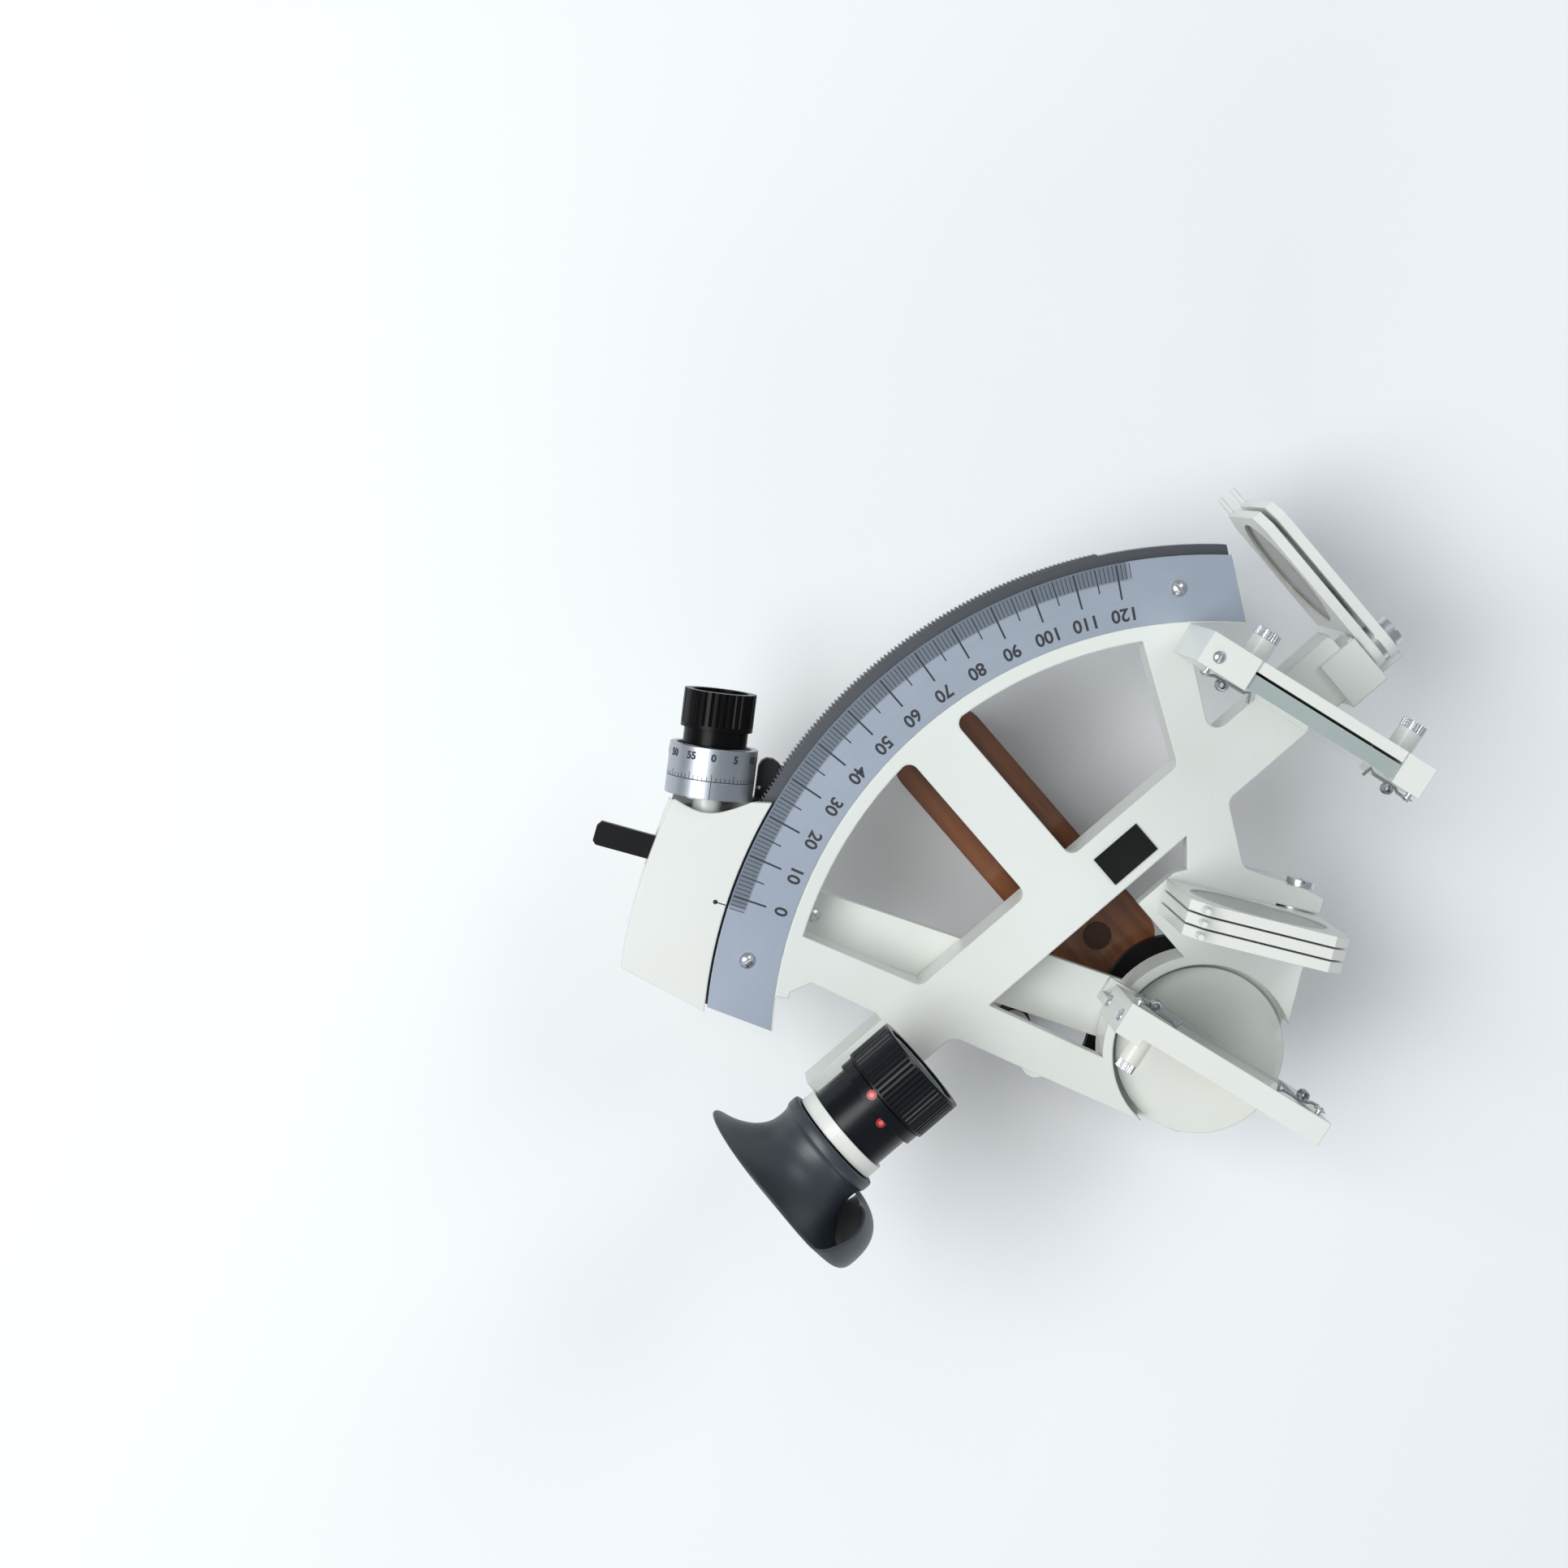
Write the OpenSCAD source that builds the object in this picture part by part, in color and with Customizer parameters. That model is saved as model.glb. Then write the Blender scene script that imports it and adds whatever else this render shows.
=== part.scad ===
// Small marine sextant with a drum micrometer, lying on its three legs.
// Every piece is drawn about the index arm's pivot: X runs along the line of sight,
// Y towards the middle of the arc, Z out of the frame's front face at z = 0.
// in_part() then sets that drawing over the centre of its own footprint.

/* [Arc and scale] */
// Outer radius of the scale plate, from the index arm's pivot
plate_r = 125; // [115:0.5:150]
// Radial width of the scale plate
plate_w = 16.3; // [13:0.1:19]
// Thickness of the scale plate
plate_t = 1.2; // [0.8:0.1:2]
// Radial width of the limb under the scale plate
limb_w = 20; // [17:0.5:24]
// Thickness of the limb
limb_t = 11; // [9:0.5:13]
// Half angle of the plate's outer corners, from the middle of the arc
end_deg = 43.2; // [41:0.1:46]
// Slant of the plate's end cuts from Y
end_slant = 27.9; // [15:0.1:40]
// How far the rack's tooth tips stand beyond the scale plate
rack_out = 3; // [2:0.1:4]
// Height of the rack
rack_h = 5.4; // [4:0.1:6]
// Depth of the rack's teeth
tooth_h = 0.55; // [0.45:0.01:0.6]

/* [Frame] */
// Thickness of the frame's web
web_t = 5; // [4:0.5:8]
// Depth of the cross bar that carries the telescope and the horizon mirror
bar_t = 13; // [11:0.5:16]
// Lower edge of the cross bar
bar_y = 45; // [42:0.5:48]
// Height of the cross bar
bar_w = 15; // [12:0.5:18]
// Width of the middle spoke
spoke_w = 14.5; // [10:0.5:20]
// Outer radius of the ring round the pivot
hub_r = 25.3; // [24:0.1:30]
// Depth of the round recess for the mirror disc
recess_t = 7.6; // [6:0.1:9]

/* [Index arm] */
// Angle of the index arm at a reading of zero, from X
arm_deg = 120; // [118:0.5:122]
// Thickness of the index arm
arm_t = 3.3; // [2.5:0.1:4]
// Width of the index arm
arm_w = 12.6; // [10:0.1:16]
// Radius of the index arm's shaft
shaft_r = 6; // [4.5:0.1:7.5]
// Radius of the mirror disc
disc_r = 21.3; // [18:0.1:22]
// Thickness of the mirror disc
disc_t = 2.5; // [2:0.1:3]
// Radial width of the micrometer housing
housing_w = 22; // [20:0.1:26]

/* [Tangent screw] */
// Tip radius of the worm's thread
worm_r = 3.4; // [2.8:0.1:4]
// Length of the worm's thread
worm_len = 9.6; // [8:0.1:10]
// Radius of the worm's spindle
spindle_r = 1.4; // [1:0.1:1.7]
// Angle from the index arm's centre line to the worm's foot on the rack
worm_off = 12; // [10:0.5:13]
// Radius of the micrometer drum
drum_r = 11; // [9:0.1:12]
// Length of the micrometer drum
drum_len = 8; // [6.5:0.1:10]
// Radius of the ribbed knob
knob_r = 9; // [7:0.1:10]
// Length of the ribbed knob
knob_len = 13.6; // [11:0.1:16]

/* [Mirrors and sight] */
// Height of the line of sight above the frame's face
sight_z = 20; // [18:0.5:24]
// Angle of the ray from the index mirror to the horizon mirror
ray_deg = 34.8; // [33:0.1:37]
// Distance between the two mirrors
mirror_gap = 86; // [80:0.5:95]
// Height of the mirror glasses
glass_h = 33; // [26:0.5:34]
// Thickness of the horizon mirror's glass
horizon_glass_t = 3.8; // [3:0.1:4]
// Thickness of the index mirror's glass
index_glass_t = 3; // [2.5:0.1:3.4]
// Wire diameter of the mirror springs
spring_wire = 0.8; // [0.6:0.1:0.9]

/* [Shades] */
// Width of a shade plate, square to its swinging arm
shade_w = 39.4; // [36:0.1:41]
// Height of a shade plate, along its swinging arm
shade_h = 37.6; // [35:0.1:38]
// Thickness of a shade plate
shade_t = 2.6; // [2:0.1:2.8]
// Radius of a shade's window
window_r = 16.2; // [13:0.1:16.6]
// Gap between two index shades, filled by a washer at the pivot
shade_gap = 0.5; // [0.4:0.1:0.6]
// Gap between the two horizon shades
horizon_gap = 1.4; // [0.5:0.1:1.5]
// Distance along the plate from the shade's pivot to its window
shade_arm = 25.2; // [25:0.1:26]
// Radius of a shade's lug round its pivot
lug_r = 5.2; // [4.4:0.1:5.4]
// Radius of the shades' pivot pins
pin_r = 1.5; // [1.2:0.1:1.8]

/* [Telescope] */
// Radius of the telescope's tube
tube_r = 11.4; // [9.5:0.1:13]
// Thickness of the tube's wall
tube_wall = 1.4; // [1:0.1:1.8]
// Radius of the focusing ring
focus_r = 13.1; // [12.6:0.1:15.7]
// Largest radius of the eyecup
eyecup_r = 24.5; // [20:0.5:25]

/* [Handle and legs] */
// Free height behind the frame's face for the swinging arm
handle_gap = 27; // [24:0.5:34]
// Thickness of the handle's bracket
bracket_t = 3; // [2:0.5:4]
// Depth of the wooden handle
handle_d = 26; // [21:1:32]
// Width of the wooden handle
handle_w = 26; // [21:1:32]
// Length of the wooden handle
handle_len = 84; // [70:1:100]
// Height of the handle above the surface the sextant stands on
floor_gap = 6; // [5:0.5:8]
// Radius of the legs
leg_r = 4; // [3:0.5:4.5]

/* [Hidden] */

// Cleared or touching fits
eps = 0.02;
run_fit = 0.04;
gap = 0.3;
$fn = 96;

// The arc
limb_in = plate_r - limb_w;
limb_out = plate_r - 0.6;
plate_in = plate_r - plate_w;
rack_r = plate_r + rack_out;
rack_in = rack_r - 6.5;
rack_top = -3.8;
rack_bot = rack_top - rack_h;
degree_step = 0.5;
tooth_first = 61.5;
tooth_last = 134;

// Heights below the frame's face
bar_top = bar_y + bar_w;
floor_z = -recess_t;
washer_t = 1;
arm_top = -bar_t - washer_t;
arm_bot = arm_top - arm_t;
nut_t = 3.7;
leg_foot = -(handle_gap + bracket_t + handle_d + floor_gap);
tip_h = 5;
disc_top = floor_z + gap + disc_t;

// The tangent screw: its own axes, x along the worm towards the drum, y outwards
worm_z = rack_top - rack_h / 2;
pitch_r = rack_r - 0.4;
worm_pitch = pitch_r * PI / 360;
thread_h = 0.6;
tip_clear = 0.12;
worm_dist = rack_r - tooth_h + tip_clear + worm_r;
worm_deg = arm_deg + worm_off;
worm_x = 2.4;
carrier_end = 44;
nose_r = 3.7;
bush_r = 2.4;
pivot_at = [40, 6];
ring_x = 49.4;
ring_len = 4.4;
drum_x = ring_x + ring_len + 0.15;
knob_x = drum_x + drum_len;
carrier_lo = worm_z - 4;
carrier_hi = worm_z + 3.3;
cover_t = 2.6;
skirt_t = 1.8;
cover_in = plate_r + 0.6;
cover_out = cover_in + housing_w;
boss_at = [[8, 12, 3], [26, 11, 3], [27.5, -3.9, 2]];

// The mirrors: x out of the face, y along it, z up
mirror_deg = ray_deg / 2;
horizon_at = mirror_gap * [cos(ray_deg), sin(ray_deg)];
glass_lo = sight_z - glass_h / 2;
glass_hi = sight_z + glass_h / 2;
foot_t = 2.4;

// The shades: the pivot's height and its offset from the window's middle
shade_pz = -5.5;
shade_off = shade_w / 2 - lug_r;
index_shade_t0 = 32.1;
index_shade_u = 13.6;
shade_step = shade_t + shade_gap;
cheek_t = index_shade_t0 - shade_gap;
block_t = index_shade_t0 + 3 * shade_step;
horizon_shade_x = 95.8;
horizon_shade_y = 50;
horizon_step = shade_t + horizon_gap;
block_x = horizon_shade_x - shade_gap;
block_y = [42.5, 55.7];
block_w = 11;
block_up = 1.5;
pins_end = horizon_shade_x + horizon_step + shade_t + shade_gap;

// The telescope
sight_y = horizon_at[1];
collar_x = -81.1;
collar_len = 3.8;
cup_len = 22.5;
collar_ring = 0.9;
front_x = -53.4;
focus_len = 11.7;

// Where the drawing's pivot lies in the part
pivot_x = -0.6;
pivot_y = -64.8;
pivot_z = -leg_foot;

function polar(r, a) = r * [cos(a), sin(a)];
// The point where a line from p at angle a meets the circle of radius r
function reach(p, a, r) =
  let (d = [cos(a), sin(a)], b = p * d) p + (sqrt(b * b - p * p + r * r) - b) * d;
function reversed(list) = [for (i = [len(list) - 1:-1:0]) list[i]];

module in_part() { translate([pivot_x, pivot_y, pivot_z]) children(); }

module slab(z0, z1) { translate([0, 0, z0]) linear_extrude(z1 - z0) children(); }

module rod(r, z0, z1) { translate([0, 0, z0]) cylinder(h = z1 - z0, r = r); }

module pipe(r_out, r_in, z0, z1) {
  difference() {
    rod(r_out, z0, z1);
    rod(r_in, z0 - 1, z1 + 1);
  }
}

// A rod along x
module xrod(r, x0, x1) { translate([x0, 0, 0]) rotate([0, 90, 0]) cylinder(h = x1 - x0, r = r); }

module xpipe(r_out, r_in, x0, x1) {
  difference() {
    xrod(r_out, x0, x1);
    xrod(r_in, x0 - 1, x1 + 1);
  }
}

module block(x0, x1, y0, y1, z0, z1) {
  translate([x0, y0, z0]) cube([x1 - x0, y1 - y0, z1 - z0]);
}

// Frames of reference that several pieces share
module at_worm() {
  translate([worm_dist * cos(worm_deg), worm_dist * sin(worm_deg), worm_z])
    rotate([0, 0, worm_deg - 90]) children();
}

module at_index_mirror() { rotate([0, 0, mirror_deg]) children(); }

module at_horizon_mirror() {
  translate([horizon_at[0], horizon_at[1], 0]) rotate([0, 0, mirror_deg]) children();
}

// x along the ray, y square to it and z up, so that a swing is a turn about x
module at_index_shades() {
  rotate([0, 0, ray_deg]) translate([0, -index_shade_u, shade_pz]) children();
}

module at_horizon_shades() { translate([0, horizon_shade_y, shade_pz]) children(); }

module at_sight() { translate([0, sight_y, sight_z]) children(); }

// A domed slotted screw head with its shank, driven down -z from z = 0
module dome_screw(head_r, head_h, shank_r, shank_len) {
  difference() {
    union() {
      intersection() {
        translate([0, 0, head_h - head_r * 1.25]) sphere(r = head_r * 1.25);
        rod(head_r, 0, head_h);
      }
      rod(shank_r, -shank_len, 0.1);
    }
    block(-head_r - 1, head_r + 1, -0.3, 0.3, head_h * 0.55, head_h + 1);
  }
}

// A flat slotted cheese head with its shank, driven down -z from z = 0
module cheese_screw(head_r, head_h, shank_r, shank_len) {
  difference() {
    union() {
      rod(head_r, 0, head_h);
      rod(shank_r, -shank_len, 0.1);
    }
    block(-head_r - 1, head_r + 1, -0.3, 0.3, head_h * 0.5, head_h + 1);
  }
}

// Frame

module limb_wedge() {
  slant = [sin(end_slant), cos(end_slant)];
  corner = plate_r * [sin(end_deg), cos(end_deg)];
  inner = corner - 70 * slant;
  outer = corner + 60 * slant;
  polygon([[-outer[0], outer[1]], [-inner[0], inner[1]], inner, outer]);
}

module arc_band(r_in, r_out) {
  intersection() {
    difference() {
      circle(r = r_out, $fn = 360);
      circle(r = r_in, $fn = 360);
    }
    limb_wedge();
  }
}

// The limb: past the outer legs it is hardly wider than the scale plate
module limb_band(r_out) {
  difference() {
    arc_band(limb_in, r_out);
    intersection() {
      circle(r = plate_in - 0.4, $fn = 360);
      for (a = [[131, 160], [20, 51.6]])
        polygon([[0, 0], polar(2 * plate_r, a[0]), polar(2 * plate_r, a[1])]);
    }
  }
}

// The two legs above the cross bar, each running out to the limb
module upper_legs() {
  polygon([[-42, bar_top - 5], [-42, bar_top], reach([-42, bar_top], 115.8, limb_in + 2),
    polar(limb_in + 2, 130.8), reach([-55, bar_top + 2], 113, limb_in - 5),
    [-55, bar_top + 2], [-55, bar_top - 5]]);
  polygon([[42, bar_top - 5], [42, bar_top], reach([42, bar_top], 65.6, limb_in + 2),
    reach([52.6, bar_top], 62.3, limb_in + 2), [52.6, bar_top], [52.6, bar_top - 5]]);
}

module middle_spoke() {
  intersection() {
    translate([-spoke_w / 2, bar_top - 5]) square([spoke_w, plate_r]);
    circle(r = limb_in + 2);
  }
}

// Block that holds the horizon shades' pivot
module shade_block() {
  translate([block_x - block_w, block_y[0]]) square([block_w, block_y[1] - block_y[0]]);
}

module cross_bar() {
  translate([-79.5, bar_y]) square([79.5 + block_x - 4, bar_w]);
  shade_block();
}

// The web from the cross bar down to the ring round the pivot
module lower_web() {
  difference() {
    polygon([[-53, bar_y + 5], [-53, bar_y], [-44.4, bar_y], [-18, -13], [-12, -17.2],
      [5, -19], [10, -16.5], [32, -0.5], [48.2, 10], [46, 16], [38, 29.4],
      [46, bar_y], [46, bar_y + 5]]);
    // the open window in its middle, over the ring
    difference() {
      polygon([[-32.4, bar_y], [32.4, bar_y], [27, 38.5], [24, 40], [12.3, 40],
        [12.3, 15], [-19, 15]]);
      circle(r = hub_r);
    }
  }
}

// Rounding of the corner at p between edges that leave it at angles a and b
module fillet(p, a, b, r) {
  half = (b - a) / 2;
  centre = p + polar(r / sin(half), a + half);
  polygon(concat([p - polar(0.5, a + half), p + polar(r / tan(half), a)],
    [for (k = [1:5]) centre + polar(r, a - 90 - k * (180 - 2 * half) / 6)],
    [p + polar(r / tan(half), b)]));
}

// Corners of the two windows over the cross bar, and of those below it
module fillets() {
  limb_y = sqrt(limb_in * limb_in - spoke_w * spoke_w / 4);
  slope = asin(spoke_w / 2 / limb_in);
  fillet([-42, bar_top], 0, 115.8, 2.5);
  fillet([-spoke_w / 2, bar_top], 90, 180, 2.5);
  fillet([-spoke_w / 2, limb_y], 180 + slope, 270, 2.5);
  fillet([42, bar_top], 65.6, 180, 2.5);
  fillet([spoke_w / 2, bar_top], 0, 90, 2.5);
  fillet([spoke_w / 2, limb_y], 270, 360 - slope, 2.5);
  fillet([52.6, bar_top], 0, 62.3, 3);
  fillet([-44.4, bar_y], 180, 294.5, 4);
  fillet([46, bar_y], 242.9, 360, 3);
  fillet([38, 29.4], 300.8, 422.9, 3);
}

module frame_outline() {
  limb_band(limb_out);
  upper_legs();
  middle_spoke();
  cross_bar();
  lower_web();
  fillets();
}

// Clevis block for the index shades' pivot, beside the ring
module shade_clevis() {
  intersection() {
    slab(-bar_t, 0) lower_web();
    at_index_shades() block(cheek_t - 6, block_t + 6, -9, 14, -20, 20);
  }
}

module frame_casting() {
  color("#e3e6df") in_part() difference() {
    union() {
      slab(-web_t, 0) frame_outline();
      slab(-limb_t, 0) limb_band(limb_out);
      slab(-limb_t, rack_bot) limb_band(rack_r - 1.5);
      slab(-bar_t, 0) cross_bar();
      slab(-0.1, block_up) shade_block();
      // lip under the horizon shades' lugs
      block(block_x - 0.1, pins_end, block_y[0], horizon_shade_y - lug_r - 0.3, -bar_t, -7.5);
      shade_clevis();
      intersection() {
        rod(hub_r, -bar_t, 0);
        slab(-bar_t, 0) lower_web();
      }
      slab(-limb_t, 0) polygon([[42, bar_top], reach([42, bar_top], 65.6, limb_in + 2),
        reach([47, bar_top], 63, limb_in + 2), [47, bar_top]]);
      slab(-limb_t, 0) polygon([[-42, bar_top], reach([-42, bar_top], 115.8, limb_in + 2),
        reach([-47, bar_top], 117, limb_in + 2), [-47, bar_top]]);
    }
    // seat of the scale plate
    slab(-plate_t, 1) difference() {
      circle(r = plate_r + 1, $fn = 360);
      circle(r = plate_in - eps, $fn = 360);
    }
    // groove of the rack
    slab(rack_bot, rack_top) difference() {
      circle(r = rack_r + 5, $fn = 360);
      circle(r = rack_in - 0.1, $fn = 360);
    }
    // recess of the mirror disc and bore of the bearing bush
    rod(hub_r - 2.5, floor_z, 1);
    rod(shaft_r + 3, -bar_t - 1, 1);
    // pocket of the index shades' lugs, and the bore of their pin
    at_index_shades() {
      block(cheek_t, block_t, -20, lug_r + 0.6, -20, 20);
      xrod(pin_r + run_fit, cheek_t - 5, block_t + 20);
      block(block_t + 5.2, block_t + 20, -4.5, 4.5, -20, 20);
    }
    at_horizon_shades() xrod(pin_r + run_fit, block_x - 12, block_x + 1);
    plate_screw_places() rod(1.25, -7, 1);
    handle_posts() rod(1.25, -bar_t - 1, -bar_t + 6);
    leg_places() rod(2 + eps, -limb_t - 1, -limb_t + 5);
    telescope_screws() rod(1.25, -bar_t - 1, 1);
    horizon_foot_screws() {
      rod(1.05, -bar_t - 1, 1);
      rod(2.1, -bar_t - 1, -bar_t + 1.4);
    }
  }
}

module plate_screw_places() {
  for (side = [-1, 1])
    rotate([0, 0, 90 + side * 37]) translate([plate_r - 8, 0, 0]) children();
}

module scale_plate() {
  color("#aab3c0") in_part() difference() {
    slab(-plate_t, 0) arc_band(plate_in, plate_r);
    plate_screw_places() rod(1.3, -5, 1);
  }
}

module scale_plate_screws() {
  color("#d8dade") in_part() plate_screw_places()
    rotate([0, 0, 40]) dome_screw(2, 1.3, 1.2, 5);
}

// The rack: one tooth for every half degree that the arm turns
module rack_profile() {
  tip = 0.21;
  root = 0.36;
  root_r = rack_r - tooth_h;
  deg = 180 / PI / rack_r;
  teeth = [for (a = [tooth_first:degree_step:tooth_last]) each [
    polar(root_r, a + degree_step / 2 - root * deg), polar(rack_r, a + degree_step / 2 - tip * deg),
    polar(rack_r, a + degree_step / 2 + tip * deg), polar(root_r, a + degree_step / 2 + root * deg)]];
  plain = [for (a = [46:2:60]) polar(root_r, a)];
  inside = [for (a = [136:-2:46]) polar(rack_in, a)];
  intersection() {
    polygon(concat(plain, teeth, [polar(root_r, 136)], inside));
    limb_wedge();
  }
}

module tangent_rack() {
  color("#6f757b") in_part() slab(rack_bot, rack_top) rack_profile();
}

module bearing_bush() {
  color("#b08d57") in_part() difference() {
    union() {
      rod(shaft_r + 3 - eps, -bar_t - 2 * eps, floor_z - eps);
      rod(shaft_r + 7, arm_top + eps, -bar_t - eps);
    }
    rod(shaft_r + run_fit, -bar_t - 3, 1);
  }
}

// Index arm and its shaft

module arm_outline() {
  half = arm_w / 2;
  wide = 9.5;
  root = worm_frame_xy([-3.8, -5.4]);
  tail = worm_frame_xy([3.9, cover_out - worm_dist - 1.5]);
  nose = worm_frame_xy([46.4, 9.6]);
  toe = worm_frame_xy([49, -14.5]);
  turn = arm_deg;
  along = function (r, s) polar(r, turn) + s * [cos(turn - 90), sin(turn - 90)];
  polygon(reversed([along(0, -half), along(plate_r - 11, -half), root, tail,
    for (a = [130:-2:116]) polar(cover_out, a), nose, toe, along(plate_r - 11, half),
    along(62, half), along(50, wide), along(0, wide)]));
  circle(r = 17);
}

function worm_frame_xy(p) =
  polar(worm_dist, worm_deg) + p[0] * [cos(worm_deg - 90), sin(worm_deg - 90)]
    + p[1] * [cos(worm_deg), sin(worm_deg)];

module index_arm() {
  color("#dfe2da") in_part() difference() {
    slab(arm_bot, arm_top) arm_outline();
    rod(shaft_r + eps, arm_bot - 1, arm_top + 1);
    rotate([0, 0, arm_deg]) translate([plate_r - 22, 0, 0]) rod(1.3, arm_bot - 1, arm_top + 1);
    at_worm() {
      for (b = boss_at) translate([b[0], b[1], 0]) rod(1.25, -30, 0);
      translate([pivot_at[0], pivot_at[1], 0]) rod(2.2 + eps, -30, 0);
    }
  }
}

module arm_shaft() {
  color("#9aa0a6") in_part() union() {
    rod(shaft_r, arm_bot, floor_z + gap);
    rod(3, floor_z + gap, disc_top);
    rod(4, arm_bot - washer_t - nut_t - 1, arm_bot);
  }
}

module arm_nut() {
  color("#c9ccd0") in_part() {
    pipe(9, 4 + eps, arm_bot - washer_t, arm_bot);
    difference() {
      translate([0, 0, arm_bot - washer_t - nut_t]) cylinder(h = nut_t, r = 6.6, $fn = 6);
      rod(4 + eps, arm_bot - 10, arm_bot);
    }
  }
}

module mirror_disc() {
  color("#dcdfd6") in_part() difference() {
    rod(disc_r, floor_z + gap, disc_top);
    rod(3 + eps, floor_z, 1);
    at_index_mirror() index_foot_screws() rod(1.05, disc_top - 1.7, 1);
  }
}

// Mirrors

// A torsion spring of bent wire: a kinked leg on the glass, three turns and a leg that
// hooks on a screw. x points at the glass, and y along it towards the kinked leg's end.
coil_r = 1.1;
coil_rise = spring_wire + 0.45;
coil_steps = 8;
coil_turns = 3;
spring_leg = 7.1;
function spring_route(leg) = concat(
  [[-0.4, leg, 0], [2.05, leg - 0.8, 0], [1.2, leg - 1.9, 0], [coil_r, 1.2, 0]],
  [for (i = [0:coil_turns * coil_steps]) [coil_r * cos(i * 360 / coil_steps),
    coil_r * sin(i * 360 / coil_steps), -coil_rise * i / coil_steps]],
  [[coil_r, -2.2, -coil_rise * coil_turns], [0.5, -3.3, -coil_rise * coil_turns],
    [0.4, -5.2, -coil_rise * coil_turns]]);

// Least distance between the middles of wire that lie more than half a turn apart
function self_gap(path) = min([for (i = [0:len(path) - 1], j = [i + coil_steps / 2:1:len(path) - 1])
  if (j < len(path)) norm(path[i] - path[j])]) - spring_wire;
echo(least_gap_of_mirror_spring = self_gap(spring_route(spring_leg)));

function unit(v) = v / norm(v);

function swept_ring(path, i, r, sides) =
  let (a = path[max(i - 1, 0)], b = path[min(i + 1, len(path) - 1)], d = unit(b - a),
    u = unit(cross(d, abs(d[2]) > 0.9 ? [1, 0, 0] : [0, 0, 1])), w = cross(d, u))
  [for (k = [0:sides - 1]) path[i] + r * (cos(k * 360 / sides) * u + sin(k * 360 / sides) * w)];

module swept_tube(path, r, sides) {
  n = len(path);
  points = [for (i = [0:n - 1]) each swept_ring(path, i, r, sides)];
  sides_of = [for (i = [0:n - 2], k = [0:sides - 1]) each
    let (a = i * sides + k, b = i * sides + (k + 1) % sides)
    [[a, b, a + sides], [b, b + sides, a + sides]]];
  start = [[for (k = [sides - 1:-1:0]) k]];
  finish = [[for (k = [0:sides - 1]) (n - 1) * sides + k]];
  polyhedron(points, concat(sides_of, start, finish), convexity = 8);
}

module mirror_spring(leg) { swept_tube(spring_route(leg), spring_wire / 2, 6); }

// Index mirror: the holder's back, band, ledge and ends round an open face
index_y = [-25.3, 31];
index_x = [-1.5, 4.7];
index_glass_x = index_x[1] - 0.5;
index_lo = 0.8;
index_end_x = -3.4;
index_end_lo = 12.6;
index_post_y = 20;
index_screw_z = [15.7, 33.7];

module index_mirror_holder() {
  color("#e3e5dc") in_part() at_index_mirror() difference() {
    union() {
      block(index_x[0], index_x[0] + 2.2, index_y[0], index_y[1], index_lo, glass_hi + 1.6);
      block(index_x[0], index_x[1], index_y[0], index_y[1], glass_hi + 0.1, glass_hi + 1.6);
      block(index_x[0], index_x[1], index_y[0], index_y[1], index_lo, glass_lo - 0.1);
      block(index_x[0], index_x[1], index_y[0], index_y[0] + 5, index_lo, glass_hi + 1.6);
      block(index_end_x, index_x[1], index_y[1] - 6.9, index_y[1], index_end_lo, glass_hi + 1.6);
      intersection() {
        block(index_x[0], index_x[1], -20, 20, disc_top, index_lo + 0.1);
        rod(disc_r - 1, -20, 20);
      }
      translate([0, index_post_y, sight_z]) xrod(2.6, index_x[0] - 8, index_x[0] + 0.1);
    }
    translate([0, index_post_y, sight_z]) xrod(1.2, index_x[0] - 9, index_x[0] - 2);
    index_screw_places() rod(0.7 + eps, -3.2, 1);
    index_foot_screws() rod(1.05, disc_top - 1, disc_top + 4.5);
  }
}

module index_foot_screws() {
  for (y = [-11, 11]) translate([1.6, y, 0]) children();
}

module index_mirror_glass() {
  color("#a9bdb4") in_part() at_index_mirror()
    block(index_glass_x - index_glass_t, index_glass_x, index_y[0] + 5.1, index_y[1] - 7,
      glass_lo, glass_hi);
}

module index_mirror_springs() {
  color("#8d9094") in_part() at_index_mirror() for (side = [0, 1])
    translate([index_glass_x + 2.5, side == 0 ? index_y[0] + 8.3 : index_y[1] - 6, glass_hi - 1])
      mirror([0, side, 0]) mirror([1, 0, 0]) mirror_spring(spring_leg);
}

// Every screw of the holder, driven along -z of its own place
module index_screw_places() {
  for (y = [index_y[0] + 3, index_y[1] - 0.7 - 1.6])
    translate([index_x[1] + 1, y, glass_hi - 2.5]) rotate([0, 90, 0]) children();
  for (z = index_screw_z) translate([0.4, index_y[1], z]) rotate([-90, 0, 0]) children();
}

module index_mirror_screws() {
  color("#d8dade") in_part() at_index_mirror() {
    index_screw_places() dome_screw(1.6, 1, 0.7, 3);
    index_foot_screws() rod(1, disc_top - 1.6, disc_top + 4.4);
  }
}

// A knurled head on a screw that runs in along +x from x = 0
module adjuster(shank, head_r) {
  xrod(1.15, 0, shank);
  difference() {
    xrod(head_r, -2.2, 0);
    for (a = [0:15:345]) rotate([a, 0, 0]) translate([-3, 0, head_r + 0.1]) rotate([0, 90, 0])
      cylinder(h = 4, r = 0.35, $fn = 4);
    block(-4, -1.6, -4, 4, -0.35, 0.35);
  }
}

module index_adjuster() {
  color("#d8dade") in_part() at_index_mirror()
    translate([index_x[0] - 8 - eps, index_post_y, sight_z]) adjuster(5.5, 2.4);
}

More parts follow.
